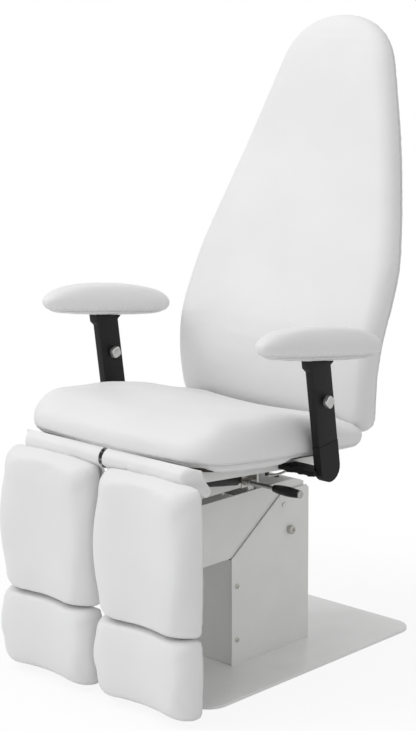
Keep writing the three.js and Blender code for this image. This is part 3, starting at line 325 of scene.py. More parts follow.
class Finish:
    """A material, or a world, built from nodes."""

    def __init__(self, name, kept_in=None):
        collection = bpy.data.materials if kept_in is None else kept_in
        self.material = collection.new(name)
        self.material.use_nodes = True
        self.tree = self.material.node_tree
        self.tree.nodes.clear()

    def node(self, kind, choices=None, sockets=None, output=0):
        """Adds a node: choices are its own settings, and sockets the values or links of its inputs."""
        made = self.tree.nodes.new(kind)
        for name, choice in (choices or {}).items():
            setattr(made, name, choice)
        for key, value in (sockets or {}).items():
            if isinstance(value, Value):
                self.tree.links.new(value.socket, made.inputs[key])
            else:
                made.inputs[key].default_value = value
        return Value(self, made.outputs[output])

    def place(self):
        return self.node("ShaderNodeTexCoord", output="Object")

    def stretched(self, scale):
        return self.node("ShaderNodeMapping", None, {"Vector": self.place(), "Scale": scale})

    def noise(self, scale, detail=2.0, roughness=0.5, vector=None):
        sockets = {"Scale": scale, "Detail": detail, "Roughness": roughness}
        sockets["Vector"] = vector or self.place()
        return self.node("ShaderNodeTexNoise", None, sockets)

    def cells(self, scale):
        return self.node("ShaderNodeTexVoronoi", None, {"Vector": self.place(), "Scale": scale})

    def attribute(self, name):
        return self.node("ShaderNodeAttribute", {"attribute_name": name}, None, "Fac")

    def blend(self, amount, low, high):
        """A colour between low and high."""
        mix = self.tree.nodes.new("ShaderNodeMix")
        mix.data_type = "RGBA"
        self.tree.links.new(amount.socket, mix.inputs[0])
        start, end = (socket for socket in mix.inputs if socket.type == "RGBA")
        start.default_value = (*low, 1.0)
        end.default_value = (*high, 1.0)
        return Value(self, next(socket for socket in mix.outputs if socket.type == "RGBA"))

    def bump(self, height, depth, strength=1.0, over=None):
        sockets = {"Height": height, "Distance": depth, "Strength": strength}
        if over is not None:
            sockets["Normal"] = over
        return self.node("ShaderNodeBump", None, sockets)

    def rounded(self, radius):
        """Surface normals with the sharp edges of folded sheet and machined steel taken off."""
        return self.node("ShaderNodeBevel", {"samples": 4}, {"Radius": radius})

    def surface(self, **sockets):
        names = {key.replace("_", " ").title(): value for key, value in sockets.items()}
        names["Specular IOR Level"] = names.pop("Specular Ior Level", 0.5)
        shader = self.node("ShaderNodeBsdfPrincipled", None, names)
        self.node_output(shader)
        return self.material

    def node_output(self, shader, kind="ShaderNodeOutputMaterial"):
        made = self.tree.nodes.new(kind)
        self.tree.links.new(shader.socket, made.inputs["Surface"])


def shade(base, amount):
    """The colour made lighter or darker by a share."""
    return tuple(max(0.0, channel * (1.0 + amount)) for channel in base)


# ---------------------------------------------------------------- finishes


def leatherette(name, stitched):
    """White leatherette: a fine pebbled grain, and a sewn seam where the piece has one, with painted shade
    darkening the seam's fold.
    """
    finish = Finish(name)
    base = settings().colours.leatherette
    pores = finish.noise(scale=420.0, detail=3.0)
    pebbles = finish.cells(scale=900.0) * 0.6 + pores * 0.4
    normal = finish.bump(pebbles, depth=0.00018, strength=0.55)
    tone = finish.noise(scale=5.0).rise(0.3, 0.7)
    if stitched:
        fold_width, stitches_at, thread_edge = 0.0016, 0.0042, (0.0004, 0.0009)
        offset = abs(finish.attribute("seam_offset"))
        run = finish.attribute("seam_run")
        fold = 1.0 - offset.rise(0.0, fold_width)
        thread_row = 1.0 - abs(offset - stitches_at).rise(*thread_edge)
        dash = abs((run / settings().stuffing.stitch_pitch).fraction() - 0.5)
        thread = thread_row * (1.0 - dash.rise(0.32, 0.42))
        normal = finish.bump(thread - fold * 2.0, depth=0.0008, over=normal)
        # painted shade: the seam's fold is darkened in colour as the shade in its crease
        tone = tone * (1.0 - fold) * (1.0 - thread * 0.6)
    return finish.surface(
        base_color=finish.blend(tone, shade(base, -0.035), base),
        roughness=0.46 + pores * 0.10,
        normal=normal,
        specular_ior_level=0.42,
        sheen_weight=0.05,
        sheen_roughness=0.4,
    )


def powder_coat(name, base, roughness, edge=0.0, shine=0.5):
    """Baked powder coat: a faint orange peel under a smooth film. edge is the radius of its folds."""
    finish = Finish(name)
    cloud = finish.noise(scale=9.0, detail=3.0)
    softened = finish.rounded(edge) if edge else None
    return finish.surface(
        base_color=finish.blend(cloud.rise(0.25, 0.75), shade(base, -0.03), shade(base, 0.02)),
        roughness=roughness + cloud * 0.06,
        normal=finish.bump(finish.noise(scale=650.0), depth=0.00007, strength=0.35, over=softened),
        specular_ior_level=shine,
    )


def moulded_plastic(name, base, roughness, metallic=0.0):
    """Moulded plastic with a fine spark-eroded texture, or the same in a metallic lacquer."""
    finish = Finish(name)
    spark = finish.noise(scale=1500.0)
    return finish.surface(
        base_color=finish.blend(spark.rise(0.3, 0.7), shade(base, -0.08), shade(base, 0.10)),
        metallic=metallic,
        roughness=roughness + spark * 0.12,
        normal=finish.bump(spark, depth=0.00006, strength=0.5, over=finish.rounded(0.0004)),
    )


def zinc_plate(name, base):
    """Bright zinc plating, with the cloudy passivation that it has."""
    finish = Finish(name)
    cloud = finish.noise(scale=70.0, detail=3.0)
    fine = finish.noise(scale=900.0)
    return finish.surface(
        base_color=finish.blend(cloud.rise(0.3, 0.7), shade(base, -0.16), base),
        metallic=0.92,
        roughness=0.30 + cloud * 0.18,
        normal=finish.bump(fine, depth=0.00004, strength=0.4, over=finish.rounded(0.0006)),
    )


def turned_steel(name, base, roughness):
    """Turned and ground steel: fine rings across its length."""
    finish = Finish(name)
    rings = finish.noise(scale=60.0, roughness=0.6, vector=finish.stretched((40.0, 3.0, 3.0)))
    return finish.surface(
        base_color=finish.blend(rings.rise(0.3, 0.7), shade(base, -0.12), base),
        metallic=1.0,
        roughness=roughness + rings * 0.12,
        normal=finish.bump(rings, depth=0.00003, strength=0.3, over=finish.rounded(0.0005)),
    )


def plywood(name, base):
    """Birch plywood: long grain on the faces, and plies on the edges. The seat board gets a near black base
    colour, painted shade under the seat.
    """
    finish = Finish(name)
    along = finish.stretched((1.0, 12.0, 1.0))
    grain = finish.noise(scale=24.0, detail=4.0, roughness=0.6, vector=along)
    height = finish.node("ShaderNodeSeparateXYZ", None, {"Vector": finish.place()}, "Z")
    ply = (height * 4200.0).sine().rise(-0.2, 0.2)
    tone = grain.rise(0.25, 0.75) * (0.75 + ply * 0.25)
    return finish.surface(
        base_color=finish.blend(tone, shade(base, -0.35), base),
        roughness=0.62,
        normal=finish.bump(grain, depth=0.0002, strength=0.4),
    )


def braided_steel(name, base):
    """The lay of a steel cable's sheath."""
    finish = Finish(name)
    sockets = {"Scale": 320.0, "Vector": finish.place()}
    lay = finish.node("ShaderNodeTexWave", {"bands_direction": "DIAGONAL"}, sockets)
    return finish.surface(
        base_color=finish.blend(lay.rise(0.2, 0.8), shade(base, -0.4), base),
        metallic=0.9,
        roughness=0.34,
        normal=finish.bump(lay, depth=0.0003, strength=0.5),
    )


def make_finishes():
    """One material for each finish of the chair, by the name of the record's slot or of the piece."""
    colours = settings().colours
    return {
        "upholstery": leatherette("leatherette_sewn", True),
        "flap": leatherette("leatherette_plain", False),
        "powder_coat": powder_coat("light_grey_coat", colours.powder_coat, 0.40, edge=0.0016),
        "plate_coat": powder_coat("floor_plate_coat", colours.plate_coat, 0.16),
        "black_coat": powder_coat("black_coat", colours.black_coat, 0.52, edge=0.0014, shine=0.28),
        "smooth_black_coat": powder_coat("black_bar_coat", colours.black_coat, 0.50, shine=0.28),
        "black_plastic": moulded_plastic("black_plastic", colours.black_plastic, 0.34),
        "grey_plastic": moulded_plastic("silver_plastic", colours.silver_plastic, 0.24, metallic=0.75),
        "zinc": zinc_plate("zinc_plate", colours.zinc),
        "steel": turned_steel("turned_steel", colours.steel, 0.26),
        # the seat board's near black colour is painted shade under the seat
        "plywood": plywood("birch_plywood", colours.plywood),
        "cable": braided_steel("cable_sheath", colours.zinc),
    }


FINISHES = {}
# nodes whose finish isn't the one of their slot in the record
NODE_FINISH = {"seat_frame": "powder_coat"}


def finish_of(name):
    """The material of a finish. The first call makes them all."""
    if not FINISHES:
        FINISHES.update(make_finishes())
    return FINISHES[name]


# ---------------------------------------------------------------- modelling by hand


def deselect():
    bpy.ops.object.select_all(action="DESELECT")


def activate(piece):
    deselect()
    piece.select_set(True)
    bpy.context.view_layer.objects.active = piece


def new_piece(name):
    """Names the primitive that was just added."""
    piece = bpy.context.object
    piece.name = name
    piece.data.name = name
    return piece


def settle(piece):
    """Puts a piece's place, turn and scale into its mesh."""
    activate(piece)
    bpy.ops.object.transform_apply(location=True, rotation=True, scale=True)


@contextmanager
def editing(piece):
    """Edit mode on a piece."""
    activate(piece)
    bpy.ops.object.mode_set(mode="EDIT")
    yield
    bpy.ops.object.mode_set(mode="OBJECT")


def face_outwards():
    """In edit mode, turns all faces outwards."""
    bpy.ops.mesh.select_all(action="SELECT")
    bpy.ops.mesh.normals_make_consistent(inside=False)


def draw_out(distance):
    """In edit mode, extrudes the selected faces up."""
    bpy.ops.mesh.extrude_region_move(TRANSFORM_OT_translate={"value": (0, 0, distance)})


def modify(piece, kind, **choices):
    """Adds a modifier and applies it."""
    activate(piece)
    modifier = piece.modifiers.new(kind.title(), kind)
    for name, choice in choices.items():
        setattr(modifier, name, choice)
    bpy.ops.object.modifier_apply(modifier=modifier.name)


def block(name, low, high):
    """A box between two corners."""
    low, high = Vector(low), Vector(high)
    deselect()
    bpy.ops.mesh.primitive_cube_add(size=1, location=(low + high) / 2, scale=high - low)
    piece = new_piece(name)
    settle(piece)
    return piece


def select_faces(piece, wanted):
    """In edit mode, selects the faces whose centre and normal answer to wanted."""
    bpy.ops.mesh.select_mode(type="FACE")
    bpy.ops.mesh.select_all(action="DESELECT")
    mesh = bmesh.from_edit_mesh(piece.data)
    for face in mesh.faces:
        face.select_set(bool(wanted(face.calc_center_median(), face.normal)))
    bmesh.update_edit_mesh(piece.data)


def select_edges(piece, wanted):
    """In edit mode, selects the edges whose two ends answer to wanted."""
    bpy.ops.mesh.select_mode(type="EDGE")
    bpy.ops.mesh.select_all(action="DESELECT")
    mesh = bmesh.from_edit_mesh(piece.data)
    for edge in mesh.edges:
        edge.select_set(bool(wanted(*(vertex.co for vertex in edge.verts))))
    bmesh.update_edit_mesh(piece.data)


def turned(name, stations, start, end, sides=40):
    """A turned piece: a disc drawn out along its axis and widened or narrowed at each station.

    stations are (distance, radius), counted from start towards end. A distance may step back, which
    sinks a recess into the end.
    """
    first, radius = stations[0]
    deselect()
    at = (0, 0, first)
    bpy.ops.mesh.primitive_circle_add(vertices=sides, radius=radius, fill_type="NGON", location=at)
    piece = new_piece(name)
    settle(piece)
    with editing(piece):
        bpy.ops.mesh.select_all(action="SELECT")
        for (here, radius), (there, wider) in zip(stations, stations[1:]):
            draw_out(there - here)
            share = wider / radius
            bpy.ops.transform.resize(value=(share, share, 1), center_override=(0, 0, there))
        face_outwards()
    start, end = Vector(start), Vector(end)
    turn = (end - start).to_track_quat("Z", "Y").to_matrix().to_4x4()
    piece.data.transform(Matrix.Translation(start) @ turn)
    return piece


def soften(piece, width, segments=3, limit=30):
    """Rounds the edges over that are sharper than limit degrees."""
    limit = math.radians(limit)
    modify(piece, "BEVEL", width=width, segments=segments, limit_method="ANGLE", angle_limit=limit)


def combine(name, pieces):
    """Joins loose pieces of one fitting into one object."""
    activate(pieces[0])
    for piece in pieces[1:]:
        piece.select_set(True)
    bpy.ops.object.join()
    return new_piece(name)


def lying(node, side=1):
    """Start, end and radius of a node that lies along the X axis, outwards on its side."""
    low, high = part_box(node)
    y, z = (low.y + high.y) / 2, (low.z + high.z) / 2
    inner, outer = (low.x, high.x) if side > 0 else (high.x, low.x)
    return Vector((inner, y, z)), Vector((outer, y, z)), (high.z - low.z) / 2


def hand_over(piece, body, finish, replaced=(), smooth=35):
    """Gives a piece its shading, its finish and the body that carries it, and hides the nodes it stands for.
    """
    activate(piece)
    bpy.ops.object.shade_smooth_by_angle(angle=math.radians(smooth))
    piece.data.materials.clear()
    piece.data.materials.append(finish_of(finish))
    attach(piece, body)
    if replaced:
        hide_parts(*replaced)


# ---------------------------------------------------------------- cushions


def smooth_step(value, low, high):
    share = min(1.0, max(0.0, (value - low) / (high - low)))
    return share * share * (3 - 2 * share)


def quadratic(start, control, end, steps=24):
    """Points on a quadratic curve, without its last one."""
    shares = [step / steps for step in range(steps)]
    return [start * (1 - t) ** 2 + control * (2 * t * (1 - t)) + end * t**2 for t in shares]


def cubic(start, first, second, end, steps=40):
    """Points on a cubic curve, without its last one."""
    shares = [step / steps for step in range(steps)]
    return [
        start * (1 - t) ** 3
        + first * (3 * t * (1 - t) ** 2)
        + second * (3 * t**2 * (1 - t))
        + end * t**3
        for t in shares
    ]


def evenly(points, count):
    """count points at equal distances along a closed line."""
    closed = [*points, points[0]]
    runs = [0.0]
    for before, after in zip(closed, closed[1:]):
        runs.append(runs[-1] + (after - before).length)
    spaced = []
    place = 0
    for step in range(count):
        run = runs[-1] * step / count
        while runs[place + 1] < run:
            place += 1
        share = (run - runs[place]) / max(1e-9, runs[place + 1] - runs[place])
        spaced.append(closed[place].lerp(closed[place + 1], share))
    return spaced


def bowed_outline(half, low, high, low_corner, high_corner, side_bow, low_bow, high_bow, count):
    """A closed outline with rounded corners and sides that bow out, or in where a bow is negative."""
    u = half - side_bow
    foot = low + max(low_bow, 0.0)
    head = high - max(high_bow, 0.0)
    middle = (low + high) / 2
    low_u, high_u = u - low_corner, u - high_corner
    right = [
        ((0, foot - low_bow), (low_u / 2, foot - low_bow), (low_u, foot)),
        ((low_u, foot), (u, foot), (u, foot + low_corner)),
        ((u, foot + low_corner), (half + side_bow, middle), (u, head - high_corner)),
        ((u, head - high_corner), (u, head), (high_u, head)),
        ((high_u, head), (high_u / 2, head + high_bow), (0, head + high_bow)),
    ]
    points = [point for curve in right for point in quadratic(*(Vector(end) for end in curve))]
    points.append(Vector((0, head + high_bow)))
    mirrored = [Vector((-point.x, point.y)) for point in reversed(points[1:-1])]
    return evenly(points + mirrored, count)


def uniform_spline(points, steps=40):
    """A smooth line through all the points, as a uniform Catmull-Rom spline."""
    knots = [Vector(point) for point in points]
    line = []
    for index in range(len(knots) - 1):
        p1, p2 = knots[index], knots[index + 1]
        p0 = knots[max(index - 1, 0)]
        p3 = knots[min(index + 2, len(knots) - 1)]
        for step in range(steps):
            t = step / steps
            line.append(
                p1
                + (p2 - p0) * (0.5 * t)
                + (p0 - p1 * 2.5 + p2 * 2 - p3 * 0.5) * t**2
                + (p1 * 1.5 - p2 * 1.5 + p3 * 0.5 - p0 * 0.5) * t**3
            )
    return [*line, knots[-1]]


class Incline:
    """A plane that leans about the X axis, with places on it as (across, along, height)."""

    def __init__(self, x, y, z, lean):
        self.x = x
        self.y = y
        self.z = z
        self.cosine = math.cos(lean)
        self.sine = math.sin(lean)

    def place(self, across, along, height):
        y = self.y + along * self.cosine + height * self.sine
        z = self.z - along * self.sine + height * self.cosine
        return Vector((self.x + across, y, z))

    def find(self, point):
        dy, dz = point.y - self.y, point.z - self.z
        return point.x - self.x, dy * self.cosine - dz * self.sine, dy * self.sine + dz * self.cosine


def seat_plane():
    seat = settings().seat
    return Incline(0.0, seat.origin_y, seat.origin_z, seat.tilt)


def outline_normals(outline):
    """The direction out of a counterclockwise outline, at each of its points."""
    count = len(outline)
    normals = []
    for index in range(count):
        along = outline[(index + 1) % count] - outline[index - 1]
        normals.append(Vector((along.y, -along.x)).normalized())
    return normals


class CushionForm:
    """A stuffed form over a closed outline (u, v), with a height h off its middle surface."""

    edge_steps = 9
    face_shares = (0.12, 0.25, 0.38, 0.5, 0.62, 0.74, 0.85, 0.93)

    def __init__(self, section, centre, place, find, middle, front, rear, crown, seam):
        outline = section(0.0, 0.0, 1)
        self.outline = outline
        self.section = section
        self.centre = Vector(centre)
        self.place = place
        self.find = find
        self.middle = middle
        self.front = front
        self.rear = rear
        self.crown = crown
        self.seam = seam
        self.runs = [0.0]
        for before, after in zip(outline, outline[1:]):
            self.runs.append(self.runs[-1] + (after - before).length)
        self.reach_u = max(abs(point.x - self.centre.x) for point in outline)
        self.reach_v = max(abs(point.y - self.centre.y) for point in outline)
        self.nearest = KDTree(len(outline))
        for index, point in enumerate(outline):
            self.nearest.insert((*point, 0), index)
        self.nearest.balance()

    def point(self, u, v, face, lift):
        depth = self.front(u, v) if face > 0 else self.rear(u, v)
        across = (u - self.centre.x) / self.reach_u
        along = (v - self.centre.y) / self.reach_v
        outwards = math.hypot(across**2, along**2)
        return self.place(u, v, self.middle(u, v) + face * lift * (1 - self.crown * outwards) * depth)

    def rings(self):
        """(inset, share, lift) from the middle of a face out to the rim."""
        inner = [(1.0, share, 1.0) for share in self.face_shares]
        angles = [step / self.edge_steps * math.pi / 2 for step in range(self.edge_steps, -1, -1)]
        rim = [(1 - math.cos(a), 1.0, math.sin(a)) for a in angles]
        return inner + rim

    def mesh(self, name):
        half = self.rings()
        stations = [(*ring, 1) for ring in half] + [(*ring, -1) for ring in reversed(half[:-1])]
        shell = bmesh.new()
        first = shell.verts.new(self.point(*self.centre, 1, 1.0))
        loops = []
        for inset, share, lift, face in stations:
            loop = []
            for point in self.section(inset, lift, face):
                u, v = self.centre + share * (point - self.centre)
                loop.append(shell.verts.new(self.point(u, v, face, lift)))
            loops.append(loop)
        last = shell.verts.new(self.point(*self.centre, -1, 1.0))
        count = len(self.outline)
        for i in range(count):
            j = (i + 1) % count
            shell.faces.new((first, loops[0][i], loops[0][j]))
            for before, after in zip(loops, loops[1:]):
                shell.faces.new((before[i], after[i], after[j], before[j]))
            shell.faces.new((loops[-1][i], last, loops[-1][j]))
        bmesh.ops.recalc_face_normals(shell, faces=shell.faces)
        data = bpy.data.meshes.new(name)
        shell.to_mesh(data)
        shell.free()
        piece = bpy.data.objects.new(name, data)
        bpy.context.scene.collection.objects.link(piece)
        return piece

    def seam_offset(self, point):
        u, v, h = self.find(point)
        return h - self.seam(u, v)

    def seam_run(self, point):
        """How far along the outline a point lies."""
        u, v, _ = self.find(point)
        index = self.nearest.find((u, v, 0))[1]
        along = self.outline[(index + 1) % len(self.outline)] - self.outline[index - 1]
        return self.runs[index] + (Vector((u, v)) - self.outline[index]).dot(along.normalized())


def drawn_in(outline, draw):
    """Sections of a cushion, drawn in from its outline point by point towards each face."""
    normals = outline_normals(outline)

    def section(inset, lift, face):
        return [draw(point, normal, inset, face) for point, normal in zip(outline, normals)]

    return section


def rolled(outline, edge):
    """Sections drawn in along the outline's normals, as the edge of a cushion rolls over."""

    def draw(point, normal, inset, face):
        return point - normal * (inset * edge(normal, face))

    return drawn_in(outline, draw)


def displace(piece, shift):
    """Moves each point of a piece along its normal by shift(point)."""
    mesh = bmesh.new()
    mesh.from_mesh(piece.data)
    mesh.normal_update()
    for vertex, normal in [(vertex, vertex.normal.copy()) for vertex in mesh.verts]:
        vertex.co += normal * shift(vertex.co)
    mesh.to_mesh(piece.data)
    mesh.free()


CLOTH = {
    "quality": 5,
    "mass": 0.3,
    "tension_stiffness": 30,
    "compression_stiffness": 30,
    "shear_stiffness": 12,
    "bending_stiffness": 4,
    "use_pressure": True,
}
# half the width of the band that the seam holds, in cloth spacings
HELD_BAND = 0.55


def stuff(piece, form, voxel):
    """Swells a cover under the foam's pressure, held along its seam, and caps how far it moves."""
    stuffing = settings().stuffing
    displace(piece, lambda point: -stuffing.slack)
    modify(piece, "REMESH", mode="VOXEL", voxel_size=voxel)
    before = [vertex.co.copy() for vertex in piece.data.vertices]
    band = HELD_BAND * voxel
    held = [index for index, point in enumerate(before) if abs(form.seam_offset(point)) < band]
    seam = piece.vertex_groups.new(name="seam")
    seam.add(held, 1.0, "REPLACE")
    activate(piece)
    cloth = piece.modifiers.new("Cloth", "CLOTH")
    for name, choice in CLOTH.items():
        setattr(cloth.settings, name, choice)
    cloth.settings.uniform_pressure_force = stuffing.pressure
    cloth.settings.vertex_group_mass = seam.name
    cloth.settings.effector_weights.gravity = 0
    cloth.point_cache.frame_start = 1
    cloth.point_cache.frame_end = stuffing.frames
    for moment in range(1, stuffing.frames + 1):
        bpy.context.scene.frame_set(moment)
    bpy.ops.object.modifier_apply(modifier=cloth.name)
    bpy.context.scene.frame_set(1)
    piece.vertex_groups.clear()
    cap_and_even(piece.data, np.array(before))


def cap_and_even(data, before):
    """Caps how far each point moved from its place before, and evens that out over its neighbours."""
    stuffing = settings().stuffing
    moves = np.array([vertex.co for vertex in data.vertices]) - before
    reach = np.linalg.norm(moves, axis=1, keepdims=True)
    moves *= np.minimum(1.0, stuffing.swell / np.maximum(reach, 1e-9))
    ends = np.array([edge.vertices[:] for edge in data.edges])
    counts = np.bincount(ends.ravel(), minlength=len(before))[:, None]
    for _ in range(stuffing.evenness):
        sums = np.zeros_like(moves)
        np.add.at(sums, ends[:, 0], moves[ends[:, 1]])
        np.add.at(sums, ends[:, 1], moves[ends[:, 0]])
        moves = 0.5 * moves + 0.5 * sums / counts
    data.vertices.foreach_set("co", (before + moves).ravel())
    data.update()


def pucker(piece, form, depth, pitch):
    """Gathers the cover beside its seam, where the stitches pull it in."""
    reach, groove_width, groove_share, too_far = 0.016, 0.0022, 1.4, 0.02

    def shift(point):
        offset = form.seam_offset(point)
        near = math.exp(-((offset / reach) ** 2))
        if near < too_far:
            return 0.0
        turn = 2 * math.pi * form.seam_run(point) / pitch
        # the puckers aren't all equally far apart or equally deep
        wave = math.sin(turn + 1.9 * math.sin(0.37 * turn)) * (0.6 + 0.4 * math.sin(0.21 * turn))
        groove = math.exp(-((offset / groove_width) ** 2))
        return depth * (wave * near - groove_share * groove)

    displace(piece, shift)


def mark_seam(piece, form):
    """Writes how far each point lies from the seam, and along it, for the stitches."""
    points = [vertex.co for vertex in piece.data.vertices]
    marks = {
        "seam_offset": [form.seam_offset(point) for point in points],
        "seam_run": [form.seam_run(point) for point in points],
    }
    for name, values in marks.items():
        piece.data.attributes.new(name, "FLOAT", "POINT").data.foreach_set("value", values)


def upholster(name, form, body, node, voxel, gathered=False):
    """Makes one cushion: its form, its stuffing, its seam and its leatherette."""
    stuffing = settings().stuffing
    piece = form.mesh(name)
    stuff(piece, form, voxel)
    modify(piece, "SUBSURF", levels=1, render_levels=1)
    if gathered:
        pucker(piece, form, stuffing.gather, stuffing.gather_pitch)
    else:
        pucker(piece, form, stuffing.pucker, stuffing.pucker_pitch)
    mark_seam(piece, form)
    hand_over(piece, body, "upholstery", [node], smooth=80)


# ---------------------------------------------------------------- operators


class CHAIR_OT_camera(bpy.types.Operator):
    """Places the camera at the photograph's viewing angle"""

    bl_idname = "chair.camera"
    bl_label = "Camera"

    full_frame = 36.0  # width of the sensor, in millimetres

    def execute(self, context):
        studio = settings().studio
        deselect()
        bpy.ops.object.camera_add(location=(studio.camera_x, studio.camera_y, studio.camera_z))
        camera = context.object
        camera.name = "camera"
        camera.rotation_euler = (math.pi / 2 - studio.pitch, 0, studio.yaw)
        camera.data.lens = studio.lens
        camera.data.sensor_fit = "AUTO"
        camera.data.sensor_width = self.full_frame
        camera.data.shift_x = studio.shift_x
        camera.data.shift_y = studio.shift_y
        camera.data.clip_start = 0.05
        camera.data.clip_end = 60.0
        context.scene.camera = camera
        return {"FINISHED"}


class CHAIR_OT_seat_cushion(bpy.types.Operator):
    """Upholsters the seat"""

    bl_idname = "chair.seat_cushion"
    bl_label = "Seat cushion"

    corners = (0.108, 0.040)  # radii in front and at the rear
    bows = (0.008, 0.008, -0.030)  # of the sides, the front and the rear
    rear_height = 0.72  # share of the height of the thighs' roll
    rise_end = 0.62  # share of the seat's depth, from the rear, where that roll is full
    tail_across = (0.17, 0.28)  # from the middle, where the rear corners slope down
    tail_start = 0.08  # from the tilt point to the rear
    rear_roll = 0.018
    under_roll = (0.028, 0.026)  # of the sides and of the ends
    side_wrap_width = 0.022  # beyond the board's edge, where the wrap is full
    front_wrap_width = (0.045, 0.020)  # from the front edge, where the wrap starts and is full
    wrap_end = (-0.03, 0.02)  # along the seat, where the wrap fades out

    def execute(self, context):
        seat = settings().seat
        plane = seat_plane()
        reach = seat.rear - seat.front

        def top(x, s):
            rise = smooth_step((seat.rear - s) / reach, 0, self.rise_end)
            dish = seat.dish * (1 - min(1, abs(x / seat.half_width)) ** 2)
            tail = smooth_step(abs(x), *self.tail_across) * smooth_step(s, self.tail_start, seat.rear)
            height = seat.thickness * (self.rear_height + (1 - self.rear_height) * rise)
            return (height - dish - seat.rim_height) * (1 - seat.tail * tail)

        def wrap(x, s):
            """The cover reaches down past the board's edge, ahead of the armrest brackets."""
            beside = smooth_step(abs(x), seat.board_half, seat.board_half + self.side_wrap_width)
            before = smooth_step(-s, *(-seat.front - width for width in self.front_wrap_width))
            ahead = 1 - smooth_step(s, *self.wrap_end)
            return ahead * max(seat.side_wrap * beside, seat.front_wrap * before)

        def edge(normal, face):
            if face < 0:
                side, end = self.under_roll
            else:
                side, end = seat.side_roll, seat.front_roll if normal.y < 0 else self.rear_roll
            return math.hypot(side * normal.x, end * normal.y)

        outline = bowed_outline(seat.half_width, seat.front, seat.rear, *self.corners, *self.bows, 220)
        form = CushionForm(
            section=rolled(outline, edge),
            centre=(0, (seat.front + seat.rear) / 2),
            place=plane.place,
            find=plane.find,
            middle=lambda x, s: seat.rim_height,
            front=top,
            rear=lambda x, s: seat.rim_height + wrap(x, s),
            crown=0.06,
            seam=lambda x, s: seat.seam_height,
        )
        upholster("seat_upholstery", form, "seat", "seat_cushion", settings().stuffing.coarse_voxel)
        return {"FINISHED"}


class CHAIR_OT_back_cushion(bpy.types.Operator):
    """Upholsters the back"""

    bl_idname = "chair.back_cushion"
    bl_label = "Back cushion"

    # the middle surface as (height, depth): a lumbar bend under a straight lean
    middle_line = [
        (0.500, 0.150),
        (0.570, 0.138),
        (0.650, 0.136),
        (0.740, 0.152),
        (0.890, 0.213),
        (1.140, 0.303),
        (1.440, 0.386),
    ]
    taper_from, taper_share = 0.7, 0.22  # the height where it starts, and how much the top is thinner
    lumbar_spread, lumbar_half = 0.09, 0.2  # how far the swell reaches up and across
    hip = (0.62, 0.8)  # the heights between which the rear face steps out
    centre = (0, 0.86)
    seam_share = 0.45  # of the depth behind the middle

    def execute(self, context):
        back = settings().back
        line = uniform_spline(self.middle_line)
        heights = [point.x for point in line]

        def middle_depth(z):
            after = min(len(line) - 1, max(1, bisect_right(heights, z)))
            low, high = line[after - 1], line[after]
            return low.y + (z - low.x) / max(1e-6, high.x - low.x) * (high.y - low.y)

        def taper(z):
            rise = (z - self.taper_from) / (back.top - self.taper_from)
            return 1 - self.taper_share * min(1, max(0, rise))

        def front(x, z):
            up = (z - back.lumbar_height) / self.lumbar_spread
            lumbar = back.lumbar_swell * math.exp(-(up**2))
            across = math.cos(min(1.5, abs(x) / self.lumbar_half)) ** 2
            return back.front_depth * taper(z) + lumbar * across

        def rear(x, z):
            rise = smooth_step(z, *self.hip)
            return (back.hip_depth + (back.shoulder_depth - back.hip_depth) * rise) * taper(z)

        outline = evenly(self.whole_outline(back.bottom, back.top), 260)
        form = CushionForm(
            section=rolled(outline, lambda normal, face: back.roll if face > 0 else back.rear_roll),
            centre=self.centre,
            place=lambda x, z, n: Vector((x, middle_depth(z) - n, z)),
            find=lambda point: (point.x, point.z, middle_depth(point.z) - point.y),
            middle=lambda x, z: 0.0,
            front=front,
            rear=rear,
            crown=0.12,
            seam=lambda x, z: -self.seam_share * rear(x, z),
        )
        upholster("back_upholstery", form, "back", "back_cushion", settings().stuffing.coarse_voxel)
        return {"FINISHED"}

    def whole_outline(self, bottom, top):
        """The back's outline, its right half drawn as cubic curves and its left half mirrored."""
        curves = [
            [(0, bottom), (0.08, bottom), (0.15, bottom)],
            [(0.225, bottom + 0.001), (0.268, bottom + 0.002), (0.285, 0.517)],
            [(0.290, 0.565), (0.302, 0.675), (0.305, 0.790)],
            [(0.294, 0.880), (0.280, 0.960), (0.200, 1.215)],
            [(0.163, 1.330), (0.140, 1.400), (0.080, top)],
            [(0, top)],
        ]
        right = []
        for curve, (end, *_) in zip(curves, curves[1:]):
            right += cubic(*(Vector(point) for point in (*curve, end)))
        right.append(Vector((0, top)))
        return right + [Vector((-point.x, point.y)) for point in reversed(right[1:-1])]


